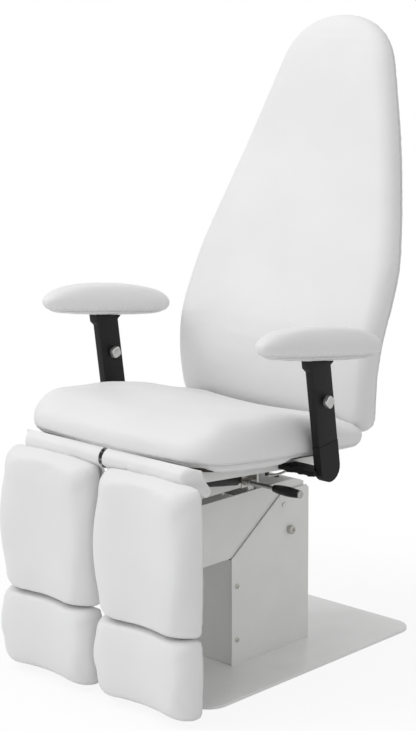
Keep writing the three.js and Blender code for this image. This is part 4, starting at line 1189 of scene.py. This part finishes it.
class CHAIR_OT_leg_cushions(bpy.types.Operator):
    """Upholsters the calf and foot pads of both leg rests"""

    bl_idname = "chair.leg_cushions"
    bl_label = "Leg cushions"

    # body, half width, bottom, top, bows of the bottom and the top
    pads = {
        "calf": ("leg", 0.1440, 0.1840, 0.507, 0.000, 0.004),
        "foot": ("foot", 0.1440, 0.0020, 0.1843, 0.004, 0.000),
    }
    # radii of the lower and upper corners, on the rear face and on the front face
    corners = {
        "calf": ((0.005, 0.016), (0.050, 0.056)),
        "foot": ((0.020, 0.005), (0.060, 0.040)),
    }
    rear_share = 0.42  # of the pad's depth, behind its widest line
    front_bow = 0.05  # bow of the front face's sides, as a share of the pad's height
    seam_share = 0.75  # of the depth behind the widest line
    wave_below = 0.05  # height under which the foot pad's edge is drawn up

    def execute(self, context):
        for side_name, side in SIDES.items():
            for pad in self.pads:
                self.upholster_pad(pad, side_name, side)
        return {"FINISHED"}

    def upholster_pad(self, pad, side_name, side):
        legs = settings().legs
        body, half, bottom, top, low_bow, high_bow = self.pads[pad]
        rear_corners, front_corners = (Vector(radii) for radii in self.corners[pad])
        rear_depth = self.rear_share * legs.thickness
        front_depth = legs.thickness - rear_depth

        def hollow(u):
            return math.cos(math.pi * min(1.0, abs(u / half)) / 2) ** 2

        def wave(point):
            """The foot pad's lower edge is drawn up in the middle."""
            waved = pad == "foot" and point.y < self.wave_below
            return Vector((point.x, point.y + (legs.lower_wave * hollow(point.x) if waved else 0.0)))

        def section(inset, lift, face):
            """The corners are rounder in front, and the edges roll over least where two pads meet."""
            forward = (1 + face * lift) / 2
            corner = rear_corners.lerp(front_corners, forward)
            side_bow = legs.rear_bow + (self.front_bow * (top - bottom) - legs.rear_bow) * forward
            front_rolls = (legs.roll, legs.end_roll, legs.joint_roll)
            beside, end, joint = front_rolls if face > 0 else [legs.rear_roll] * 3
            under, over = (joint, end) if pad == "calf" else (end, joint)
            low, high = bottom + inset * under, top - inset * over
            bows = (side_bow, low_bow, high_bow)
            ring = bowed_outline(half - inset * beside, low, high, *corner, *bows, 170)
            return [wave(point) for point in ring]

        def seam(u, z):
            return -self.seam_share * rear_depth - (1 - self.seam_share) * legs.bend * hollow(u)

        centre = side * legs.centre
        plane = legs.back_y - rear_depth
        form = CushionForm(
            section=section,
            centre=(0, (bottom + top) / 2),
            place=lambda u, z, n: Vector((centre + u, plane - n, z)),
            find=lambda point: (point.x - centre, point.z, plane - point.y),
            middle=lambda u, z: -legs.bend * hollow(u),
            front=lambda u, z: front_depth - (legs.trough - legs.bend) * hollow(u),
            rear=lambda u, z: rear_depth - legs.bend * hollow(u),
            crown=0.10,
            seam=seam,
        )
        name = f"{pad}_upholstery_{side_name}"
        node = f"{pad}_cushion_{side_name}"
        upholster(name, form, f"{body}_{side_name}", node, settings().stuffing.fine_voxel)


def armrest_rise(side_name):
    """How far an armrest stands up at rest."""
    return settings().armrests.raised if side_name == "left" else 0.0


def armrest_middle(side_name):
    low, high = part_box(f"armrest_pad_{side_name}")
    return (low.x + high.x) / 2


def armrest_top(side_name):
    """Where an armrest's bar meets its pad."""
    arm = settings().armrests
    raised = armrest_rise(side_name)
    y = arm.pad_y - raised * math.sin(arm.lean)
    return armrest_middle(side_name), y, arm.pad_z + raised * math.cos(arm.lean)


class CHAIR_OT_armrest_pads(bpy.types.Operator):
    """Upholsters the armrest pads"""

    bl_idname = "chair.armrest_pads"
    bl_label = "Armrest pads"

    fullness = 2.5  # 2 is an ellipse, and more is fuller at the corners
    rim_share = 0.4  # of the pad's height, below its widest line
    seam_share = 0.35  # of that
    side_draw, end_draw = 0.55, 0.22  # how far the faces are drawn in
    crest, fall, fall_power = 1.02, 0.44, 2.4  # of the top, towards its two tips

    def execute(self, context):
        for side_name in SIDES:
            self.upholster_pad(side_name)
        return {"FINISHED"}

    def upholster_pad(self, side_name):
        arm = settings().armrests
        plane = Incline(*armrest_top(side_name), arm.pad_pitch)
        middle = (arm.pad_front + arm.pad_rear) / 2
        half_length = (arm.pad_rear - arm.pad_front) / 2
        rim = self.rim_share * arm.pad_thickness
        power = 2 / self.fullness

        def leaf(angle):
            c, s = math.cos(angle), math.sin(angle)
            u = math.copysign(abs(c) ** power, c) * arm.pad_width / 2
            v = math.copysign(abs(s) ** power, s) * half_length
            return Vector((u, middle + v))

        def draw(point, normal, inset, face):
            across = point.x * (1 - self.side_draw * inset)
            return Vector((across, middle + (point.y - middle) * (1 - self.end_draw * inset)))

        def dome(u, v):
            out = abs((v - middle) / half_length)
            return (arm.pad_thickness - rim) * (self.crest - self.fall * out**self.fall_power)

        form = CushionForm(
            section=drawn_in(evenly([leaf(2 * math.pi * step / 360) for step in range(360)], 120), draw),
            centre=(0, middle),
            place=plane.place,
            find=plane.find,
            middle=lambda u, v: rim,
            front=dome,
            rear=lambda u, v: rim,
            crown=0.2,
            seam=lambda u, v: self.seam_share * rim,
        )
        name, body = f"armrest_upholstery_{side_name}", f"armrest_{side_name}"
        voxel = settings().stuffing.fine_voxel
        upholster(name, form, body, f"armrest_pad_{side_name}", voxel, gathered=True)


class CHAIR_OT_leg_flaps(bpy.types.Operator):
    """Hangs the leatherette flaps between the seat and the leg rests"""

    bl_idname = "chair.leg_flaps"
    bl_label = "Leg flaps"

    # (depth, height) of the sheet's section, from under the seat over the hinge to behind the calf pad
    over_hinge = [
        (-0.4070, 0.5352),
        (-0.4150, 0.5310),
        (-0.4215, 0.5235),
        (-0.4242, 0.5140),
        (-0.4238, 0.5080),
        (-0.4222, 0.5030),
        (-0.4196, 0.4995),
    ]
    # the same at its inner end, where it hangs behind the pad, clear of the leg's tubes
    hanging = [
        (-0.4070, 0.5352),
        (-0.4165, 0.5300),
        (-0.4235, 0.5190),
        (-0.4225, 0.5050),
        (-0.4120, 0.4950),
        (-0.4035, 0.4810),
        (-0.4030, 0.4480),
    ]
    # the same beside the hinge's end, where nothing holds the sheet up
    fallen = [
        (-0.3935, 0.5300),
        (-0.3905, 0.5200),
        (-0.3855, 0.5090),
        (-0.3775, 0.4985),
        (-0.3690, 0.4880),
        (-0.3680, 0.4780),
        (-0.3790, 0.4700),
    ]

    columns = 72
    ripple_depth = 0.0022
    ripple_turns = (15.0, 2.2)  # in radians, across the sheet and down it
    # where the sheet turns with the leg: its depth, and the heights where that starts and ends
    turn_depth = -0.404
    turn_heights = (0.534, 0.494)

    def execute(self, context):
        for side_name, side in SIDES.items():
            self.hang_flap(side_name, side)
        return {"FINISHED"}

    def lines(self, inner, outer):
        """The sheet's section at each column, from its inner to its outer edge."""
        legs = settings().legs
        sections = [uniform_spline(points, 6) for points in (self.over_hinge, self.fallen, self.hanging)]
        lines = []
        for column in range(self.columns + 1):
            x = inner + (outer - inner) * column / self.columns
            fall = smooth_step(x, legs.flap_fold, legs.flap_outer)
            hang = 1 - smooth_step(x, 0.5 * legs.flap_hang, legs.flap_hang)
            lines.append([over.lerp(end, fall).lerp(tail, hang) for over, end, tail in zip(*sections)])
        return lines

    def hang_flap(self, side_name, side):
        legs = settings().legs
        inner, outer = legs.flap_inner, legs.flap_outer
        lines = self.lines(inner, outer)
        rows = len(lines[0]) - 1
        turn_across, turn_down = self.ripple_turns
        deselect()
        bpy.ops.mesh.primitive_grid_add(x_subdivisions=self.columns, y_subdivisions=rows, size=1)
        piece = new_piece(f"leg_flap_sheet_{side_name}")
        settle(piece)
        for vertex in piece.data.vertices:
            across, down = vertex.co.x + 0.5, vertex.co.y + 0.5
            depth, height = lines[round(across * self.columns)][round(down * rows)]
            wave = math.sin(across * turn_across + down * turn_down + side)
            ripple = self.ripple_depth * max(0.0, wave * math.sin(math.pi * down))
            x = side * (inner + (outer - inner) * across)
            vertex.co = (x, depth - ripple, height)
        modify(piece, "SOLIDIFY", thickness=legs.flap_thickness, offset=0)
        with editing(piece):
            face_outwards()
        modify(piece, "SUBSURF", levels=1, render_levels=1)
        activate(piece)
        bpy.ops.object.shade_smooth_by_angle(angle=math.radians(50))
        piece.data.materials.clear()
        piece.data.materials.append(finish_of("flap"))
        cut = sum((b - a).length for line in lines for a, b in zip(line, line[1:])) / len(lines)
        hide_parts(f"leg_flap_{side_name}")
        start, end = ((side * legs.centre, self.turn_depth, height) for height in self.turn_heights)
        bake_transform(piece, "seat", f"leg_{side_name}", start=start, end=end)


class CHAIR_OT_armrest_bars(bpy.types.Operator):
    """Models the black sleeves that carry the armrest pads, with their knobs"""

    bl_idname = "chair.armrest_bars"
    bl_label = "Armrest bars"

    neck = 0.018  # where the flare starts, below the pad
    flare = 0.010
    spare = 0.030  # the end that the pad's plane cuts off
    flange_width = 0.026
    flare_about = -0.012  # the flange reaches further to the front
    bore_end = 0.036  # below the pad
    edge = 0.0016
    knob_turn = {"left": 12, "right": 42}  # in degrees
    knob_start, knob_end = 0.004, 0.014  # off the bar's face
    knob_corner = 0.0075
    knob_offset = 0.002
    stem, collar, collar_height = 0.004, 0.008, 0.005

    def execute(self, context):
        for side_name in SIDES:
            self.make_sleeve(side_name)
            self.make_knob(side_name)
        return {"FINISHED"}

    def bar_frame(self, side_name):
        arm = settings().armrests
        foot = Matrix.Translation((armrest_middle(side_name), arm.foot_y, arm.foot_z))
        raised = Matrix.Translation((0, 0, armrest_rise(side_name)))
        return foot @ Matrix.Rotation(arm.lean, 4, "X") @ raised

    def make_sleeve(self, side_name):
        arm = settings().armrests
        half_depth, half_width = arm.bar_depth / 2, arm.bar_width / 2
        top = (arm.pad_z - arm.foot_z) / math.cos(arm.lean)
        neck = top - self.neck
        low = (-half_width, -half_depth, arm.seam_height)
        piece = block(f"armrest_bar_{side_name}", low, (half_width, half_depth, neck))
        with editing(piece):
            select_faces(piece, lambda centre, normal: normal.z > 0.9)
            draw_out(self.flare)
            wider = (0.5 * self.flange_width / half_width, arm.flange_half / half_depth, 1)
            about = (0, self.flare_about, neck + self.flare)
            bpy.ops.transform.resize(value=wider, center_override=about)
            draw_out(self.spare)
            select_faces(piece, lambda centre, normal: normal.z < -0.9)
            bpy.ops.mesh.inset(thickness=arm.bar_wall, depth=0)
            draw_out(top - self.bore_end - arm.seam_height)
        piece.data.transform(self.bar_frame(side_name))
        with editing(piece):
            bpy.ops.mesh.select_all(action="SELECT")
            bpy.ops.mesh.bisect(
                plane_co=Vector(armrest_top(side_name)) - Vector((0, 0, CLEARANCE)),
                plane_no=(0, math.sin(arm.pad_pitch), math.cos(arm.pad_pitch)),
                clear_outer=True,
                use_fill=True,
            )
        soften(piece, self.edge)
        hand_over(piece, f"armrest_{side_name}", "smooth_black_coat", [f"armrest_sleeve_{side_name}"])

    def make_knob(self, side_name):
        arm = settings().armrests
        half = arm.knob_size / 2
        face = arm.bar_width / 2 + CLEARANCE
        low, high = (face + self.knob_start, -half, -half), (face + self.knob_end, half, half)
        head = block("knob_head", low, high)
        with editing(head):
            select_edges(head, lambda a, b: abs(a.x - b.x) > 0.005)
            bpy.ops.mesh.bevel(offset=self.knob_corner, segments=6, affect="EDGES")
            select_faces(head, lambda middle, normal: normal.x > 0.9)
            bpy.ops.mesh.inset(thickness=0.0025, depth=0.0015)
            bpy.ops.mesh.inset(thickness=0.003, depth=-0.0012)
        soften(head, 0.0007, 2)
        stem_start = arm.bar_width / 2 - arm.bar_wall - 2 * CLEARANCE
        reach = face - stem_start
        stations = [(0, self.stem), (reach, self.stem), (reach, self.collar)]
        stations.append((reach + self.collar_height, self.collar))
        stem = turned("knob_stem", stations, (stem_start, 0, 0), (1, 0, 0), 28)
        knob = combine(f"armrest_knob_head_{side_name}", [head, stem])
        axis = Matrix.Translation((0, self.knob_offset, arm.knob_height))
        turn = Matrix.Rotation(math.radians(self.knob_turn[side_name]), 4, "X")
        knob.data.transform(self.bar_frame(side_name) @ axis @ turn)
        hand_over(knob, f"knob_{side_name}", "grey_plastic", [f"armrest_knob_{side_name}"])


class CHAIR_OT_levers(bpy.types.Operator):
    """Models the release levers and their oval grips"""

    bl_idname = "chair.levers"
    bl_label = "Release levers"

    bore, radius, wall = 0.0048, 0.0108, 0.001  # of the grip
    rod, cap = 0.0045, 0.0086  # radii of the lever
    eye_reach, eye_radius, eye_wire = 0.007, 0.0052, 0.0019  # the eye at the lever's root

    def execute(self, context):
        for side_name, side in SIDES.items():
            inner, outer, _ = lying(f"lever_grip_{side_name}", side)
            self.make_grip(side_name, inner, outer)
            self.make_lever(side_name, side, inner.y, inner.z)
        return {"FINISHED"}

    def make_grip(self, side_name, inner, outer):
        """An oval grip, fuller towards its outer end and open along its bore."""
        reach = abs(outer.x - inner.x)
        steps = 18
        outside = []
        for step in range(steps + 1):
            t = step / steps
            swell = math.sin(math.pi * (0.14 + 0.70 * t)) ** 0.4
            outside.append(((0.06 + 0.94 * t) * reach, self.radius * swell))
        stations = [(outside[0][0], self.bore), *outside, (reach, self.bore)]
        grip = turned(f"lever_grip_oval_{side_name}", stations, inner, outer)
        with editing(grip):
            select_faces(grip, lambda centre, normal: abs(normal.x) > 0.95)
            bpy.ops.mesh.delete(type="FACE")
        modify(grip, "SOLIDIFY", thickness=self.wall, offset=-1)
        hand_over(grip, f"lever_{side_name}", "black_plastic", [f"lever_grip_{side_name}"])

    def make_lever(self, side_name, side, y, z):
        """A round rod with an eye at its root and a cap at its tip."""
        root, tip, _ = lying(f"release_lever_{side_name}", side)
        eye_x = root.x + side * self.eye_reach
        start = eye_x + side * self.rod
        reach = abs(tip.x - start)
        rod, cap = self.rod, self.cap
        cap_start = reach - 0.004
        stations = [
            (0, 0.0030),
            (0.001, rod),
            (cap_start, rod),
            (cap_start, cap),
            (reach - 0.001, cap),
            (reach, cap - 0.001),
            (reach, 0.0045),
            (reach - 0.0012, 0.0040),
        ]
        shaft = turned("lever_shaft", stations, (start, y, z), (tip.x, y, z), 32)
        deselect()
        bpy.ops.mesh.primitive_torus_add(
            major_radius=self.eye_radius,
            minor_radius=self.eye_wire,
            major_segments=32,
            minor_segments=10,
            location=(eye_x, y, z),
            rotation=(math.pi / 2, 0, 0),
        )
        eye = new_piece("lever_eye")
        settle(eye)
        lever = combine(f"release_lever_rod_{side_name}", [shaft, eye])
        hand_over(lever, f"lever_{side_name}", "steel", [f"release_lever_{side_name}"])


class CHAIR_OT_gas_springs(bpy.types.Operator):
    """Models the gas springs of the back and of the leg rests"""

    bl_idname = "chair.gas_springs"
    bl_label = "Gas springs"

    # x, the cylinder's and the rod's eye as (y, z), where the cylinder ends along the spring, half the
    # width of the eyes, and the radius of the rod eye's bore
    back = (0.0, (-0.060, 0.428), (0.132, 0.4354), 0.104, 0.008, 0.009)
    leg = (0.125, (-0.120, 0.432), (-0.3854, 0.4741), 0.176, 0.004, 0.013)
    tube, rod, neck = 0.013, 0.005, 0.0065  # radii
    eye_bore, eye_radius, loose_wall = 0.0043, 0.009, 0.003

    def execute(self, context):
        self.make_spring("back_spring", *self.back)
        for side_name, side in SIDES.items():
            x, *places = self.leg
            self.make_spring(f"leg_spring_{side_name}", side * x, *places)
        return {"FINISHED"}

    def make_spring(self, body, x, near, far, end, eye_half, bore):
        start, finish = Vector((x, *near)), Vector((x, *far))
        tube, neck, rod = self.tube, self.neck, self.rod
        stations = [
            (0.004, neck),
            (0.012, neck),
            (0.013, tube - 0.002),
            (0.0155, tube),
            (end - 0.003, tube),
            (end - 0.0005, tube - 0.0015),
            (end, tube - 0.003),
            (end, rod + 0.0005),
            (end - 0.002, rod + CLEARANCE),
        ]
        cylinder = turned("cylinder", stations, start, finish, 48)
        eye = self.make_eye(start, self.eye_bore, self.eye_radius, eye_half)
        tube_piece = combine(f"{body}_tube", [cylinder, eye])
        hand_over(tube_piece, body, "black_plastic", [body.replace("spring", "spring_cylinder")])
        reach = (finish - start).length
        rod_end = reach - bore
        socket = rod_end - 0.012
        stations = [(end - 0.03, rod), (socket, rod), (socket, neck), (rod_end + 0.001, neck)]
        shaft = turned("rod", stations, start, finish, 32)
        far_eye = self.make_eye(finish, bore, bore + self.loose_wall, eye_half)
        rod_piece = combine(f"{body}_piston_rod", [shaft, far_eye])
        rod_body = body.replace("spring", "spring_rod")
        hand_over(rod_piece, rod_body, "steel", [rod_body])

    def make_eye(self, at, bore, radius, half_width):
        """A short ring across the spring."""
        low = at - Vector((half_width, 0, 0))
        high = at + Vector((half_width, 0, 0))
        ring = turned("ring", [(0, radius), (2 * half_width, radius)], low, high, 36)
        with editing(ring):
            select_faces(ring, lambda centre, normal: abs(normal.x) > 0.9)
            bpy.ops.mesh.inset(thickness=radius - bore, depth=0)
            bpy.ops.mesh.bridge_edge_loops()
        return ring


class CHAIR_OT_release_cable(bpy.types.Operator):
    """Lays the release cable's loop under the seat's right rail"""

    bl_idname = "chair.release_cable"
    bl_label = "Release cable"

    # the cable's centre as (inwards from the rail, along the seat, below the rail)
    route = [
        (0.000, 0.012, 0.0003),
        (0.000, 0.012, 0.005),
        (-0.005, 0.017, 0.011),
        (-0.010, 0.034, 0.015),
        (-0.010, 0.060, 0.015),
        (-0.005, 0.077, 0.011),
        (0.000, 0.082, 0.005),
        (0.000, 0.082, 0.0003),
    ]

    radius = 0.0026
    ferrule = [(0, 0.0042), (0.009, 0.0042), (0.010, 0.0036)]

    def execute(self, context):
        _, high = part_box("release_cable")
        plane = seat_plane()
        rail_x = high.x - self.radius
        _, first_s, first_drop = self.route[0]
        end_z = high.z - self.radius * plane.sine
        under = (end_z - plane.z + first_s * plane.sine) / plane.cosine + first_drop
        points = [plane.place(rail_x + inwards, s, under - drop) for inwards, s, drop in self.route]
        curve = bpy.data.curves.new("release_cable_loop", "CURVE")
        curve.dimensions = "3D"
        spline = curve.splines.new("NURBS")
        spline.points.add(len(points) - 1)
        for knot, point in zip(spline.points, points):
            knot.co = (*point, 1)
        spline.use_endpoint_u = True
        spline.order_u = 4
        spline.resolution_u = 12
        curve.bevel_depth = self.radius
        curve.bevel_resolution = 5
        curve.use_fill_caps = True
        loop = bpy.data.objects.new("release_cable_loop", curve)
        context.scene.collection.objects.link(loop)
        activate(loop)
        bpy.ops.object.convert(target="MESH")
        hand_over(context.object, "seat", "cable", ["release_cable"])
        ends = [points[:2], points[:-3:-1]]
        for place, (end, inward) in enumerate(ends, 1):
            ferrule = turned(f"cable_ferrule_{place}", self.ferrule, end, inward, 28)
            hand_over(ferrule, "seat", "black_plastic")
        return {"FINISHED"}


class CHAIR_OT_base_plate(bpy.types.Operator):
    """Models the glossy floor plate"""

    bl_idname = "chair.base_plate"
    bl_label = "Base plate"

    corner = 0.050
    edge = 0.0009

    def execute(self, context):
        low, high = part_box("base_plate")
        plate = block("floor_plate", low, high)
        with editing(plate):
            select_edges(plate, lambda a, b: abs(a.z - b.z) > 0.5 * (high.z - low.z))
            bpy.ops.mesh.bevel(offset=self.corner, segments=20, affect="EDGES")
        soften(plate, self.edge, 3, 60)
        hand_over(plate, "base", "plate_coat", ["base_plate"])
        return {"FINISHED"}


class CHAIR_OT_fasteners(bpy.types.Operator):
    """Models the screws, the pivot bolt and the plugs of the pedestal"""

    bl_idname = "chair.fasteners"
    bl_label = "Fasteners"

    def execute(self, context):
        for side_name, side in SIDES.items():
            for height in ("lower", "upper"):
                self.make_screw(f"housing_screw_{side_name}_{height}", side)
            self.make_plug(f"housing_plug_{side_name}", side)
        self.make_axle()
        self.make_arm_plug()
        return {"FINISHED"}

    def make_screw(self, node, side):
        """A button-head screw with a hexagon socket."""
        inner, outer, head = lying(node, side)
        reach = abs(outer.x - inner.x)
        shank, head_height = 0.0026, 0.0026
        hexagon, depth = 0.38 * head, 0.0015
        neck = reach - head_height
        stations = [
            (0, shank),
            (neck, shank),
            (neck, head),
            (reach - 0.0012, head),
            (reach - 0.0004, 0.82 * head),
            (reach, 0.6 * head),
            (reach, 0.40 * head),
        ]
        screw = turned("button_head", stations, inner, outer, 36)
        sunk = outer - Vector((side * depth, 0, 0))
        outwards = outer + Vector((side, 0, 0))
        stations = [(0, hexagon), (depth + CLEARANCE, hexagon)]
        socket = turned("socket", stations, sunk, outwards, 6)
        modify(screw, "BOOLEAN", object=socket, operation="DIFFERENCE", solver="EXACT")
        bpy.data.objects.remove(socket)
        screw.name = f"{node}_button_head"
        hand_over(screw, "base", "zinc", [node])

    def make_plug(self, node, side):
        """A shallow snap-in plug."""
        inner, outer, radius = lying(node, side)
        reach = abs(outer.x - inner.x)
        neck, cap_start = 0.7 * radius, reach - 0.0012
        stations = [(0, neck), (cap_start, neck), (cap_start, radius)]
        stations += [(reach - 0.0005, radius), (reach, 0.8 * radius)]
        plug = turned(f"{node}_cap", stations, inner, outer, 36)
        hand_over(plug, "base", "powder_coat", [node])

    def make_axle(self):
        """The arm's pivot bolt: a shaft with a round head and a socket at each end."""
        left, right, head = lying("arm_axle")
        reach = right.x - left.x
        shaft, height = 0.0078, 0.0118
        near = [
            (0.0026, 0.0032),
            (0.0002, 0.0036),
            (0, 0.0062),
            (0, head - 0.0022),
            (0.0020, head),
            (height, head),
            (height, shaft),
        ]
        far = [(reach - distance, radius) for distance, radius in reversed(near)]
        axle = turned("arm_axle_bolt", near + far, left, right, 48)
        hand_over(axle, body_of(frame["nodes"]["arm_axle"])[0], "zinc", ["arm_axle"])

    def make_arm_plug(self):
        """The black cap of the arm's hole."""
        low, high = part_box("arm_plug")
        x, y = (low.x + high.x) / 2, (low.y + high.y) / 2
        radius = (high.x - low.x) / 2
        reach = high.z - low.z
        neck, cap_start = 0.7 * radius, reach - 0.0018
        stations = [
            (0, neck),
            (cap_start, neck),
            (cap_start, radius),
            (reach - 0.0008, radius),
            (reach, 0.85 * radius),
            (reach, 0.6 * radius),
            (reach - 0.001, 0.5 * radius),
        ]
        plug = turned("arm_plug_cap", stations, (x, y, low.z), (x, y, high.z), 36)
        hand_over(plug, "lift_arm", "black_plastic", ["arm_plug"])


class CHAIR_OT_frame_finish(bpy.types.Operator):
    """Gives every part of the frame that shows its own finish"""

    bl_idname = "chair.frame_finish"
    bl_label = "Frame finish"

    def execute(self, context):
        for name, node in frame["nodes"].items():
            node.data.materials.clear()
            node.data.materials.append(finish_of(NODE_FINISH.get(name, MATERIAL_SLOT[name])))
        return {"FINISHED"}


class CHAIR_OT_stage(bpy.types.Operator):
    """Sets the pale floor, the even sky and the soft lamps"""

    bl_idname = "chair.stage"
    bl_label = "Stage"

    # place, aim and width of each lamp
    lamps = {
        "key": ((-2.6, -3.6, 4.4), (0, -0.1, 0.6), 3.2),
        "fill": ((4.2, 0.4, 2.6), (0, 0, 0.7), 2.6),
        "front": ((-0.4, -4.6, 1.2), (0, 0, 0.6), 2.4),
        "top": ((0.0, -0.6, 4.6), (0, 0, 0.5), 3.0),
    }
    floor_size = 40
    floor_drop = 0.0004
    floor_grey = 0.9

    def execute(self, context):
        self.make_floor()
        self.make_sky(context.scene)
        for name, (place, aim, width) in self.lamps.items():
            self.add_lamp(f"{name}_lamp", place, aim, width, getattr(settings().studio, name))
        context.scene.view_settings.view_transform = "Standard"
        return {"FINISHED"}

    def make_floor(self):
        deselect()
        bpy.ops.mesh.primitive_plane_add(size=self.floor_size, location=(0, 0, -self.floor_drop))
        floor = new_piece("pale_floor")
        settle(floor)
        finish = Finish("pale_floor")
        grey = (self.floor_grey, self.floor_grey, self.floor_grey, 1.0)
        base = finish.node("ShaderNodeBsdfDiffuse", None, {"Color": grey})
        white = finish.node("ShaderNodeEmission", None, {"Color": (1, 1, 1, 1), "Strength": 1.0})
        seen = finish.node("ShaderNodeLightPath", output="Is Camera Ray")
        studio = settings().studio
        measure = {"operation": "LENGTH"}
        away = finish.node("ShaderNodeVectorMath", measure, {0: finish.place()}, "Value")
        fade = away.rise(0.45 * studio.floor_fade, studio.floor_fade)
        share = seen * (studio.floor_white + fade * (1.0 - studio.floor_white))
        finish.node_output(finish.node("ShaderNodeMixShader", None, {0: share, 1: base, 2: white}))
        floor.data.materials.append(finish.material)

    def make_sky(self, scene):
        """Even light from all round, brighter in reflections and plain white behind the chair."""
        studio = settings().studio
        sky = Finish("even_sky", bpy.data.worlds)
        seen = sky.node("ShaderNodeLightPath", output="Is Camera Ray")
        mirrored = sky.node("ShaderNodeLightPath", output="Is Glossy Ray")
        strength = studio.sky + seen * (1.0 - studio.sky) + mirrored * (studio.glare - studio.sky)
        white = {"Color": (1, 1, 1, 1), "Strength": strength}
        sky.node_output(sky.node("ShaderNodeBackground", None, white), "ShaderNodeOutputWorld")
        scene.world = sky.material

    def add_lamp(self, name, at, target, size, power):
        deselect()
        bpy.ops.object.light_add(type="AREA", location=at)
        lamp = bpy.context.object
        lamp.name = name
        lamp.data.shape = "DISK"
        lamp.data.size = size
        lamp.data.energy = power
        direction = Vector(target) - Vector(at)
        lamp.rotation_euler = direction.to_track_quat("-Z", "Y").to_euler()


# ---------------------------------------------------------------- panel and registration


OPERATORS = [
    CHAIR_OT_camera,
    CHAIR_OT_frame_finish,
    CHAIR_OT_seat_cushion,
    CHAIR_OT_back_cushion,
    CHAIR_OT_leg_cushions,
    CHAIR_OT_armrest_pads,
    CHAIR_OT_leg_flaps,
    CHAIR_OT_armrest_bars,
    CHAIR_OT_levers,
    CHAIR_OT_gas_springs,
    CHAIR_OT_release_cable,
    CHAIR_OT_base_plate,
    CHAIR_OT_fasteners,
    CHAIR_OT_stage,
]


class CHAIR_PT_panel(bpy.types.Panel):
    """Lists the pieces of the chair"""

    bl_idname = "CHAIR_PT_panel"
    bl_label = "Pedicure Chair"
    bl_space_type = "VIEW_3D"
    bl_region_type = "UI"
    bl_category = "Pedicure Chair"

    def draw(self, context):
        for operator in OPERATORS:
            self.layout.operator(operator.bl_idname)
        for group in ("seat", "back", "legs", "armrests", "stuffing", "colours", "studio"):
            box = self.layout.box()
            sizes = getattr(settings(), group)
            for name in sizes.__annotations__:
                box.prop(sizes, name)


CLASSES = [
    SeatSettings,
    BackSettings,
    LegSettings,
    ArmrestSettings,
    StuffingSettings,
    ColourSettings,
    StudioSettings,
    ChairSettings,
    *OPERATORS,
    CHAIR_PT_panel,
]


def register():
    for entry in CLASSES:
        bpy.utils.register_class(entry)
    bpy.types.Scene.pedicure_chair = PointerProperty(type=ChairSettings)


def unregister():
    del bpy.types.Scene.pedicure_chair
    for entry in reversed(CLASSES):
        bpy.utils.unregister_class(entry)


def main():
    register()
    for operator in OPERATORS:
        group, name = operator.bl_idname.split(".")
        getattr(getattr(bpy.ops, group), name)()


if __name__ == "__main__":
    main()
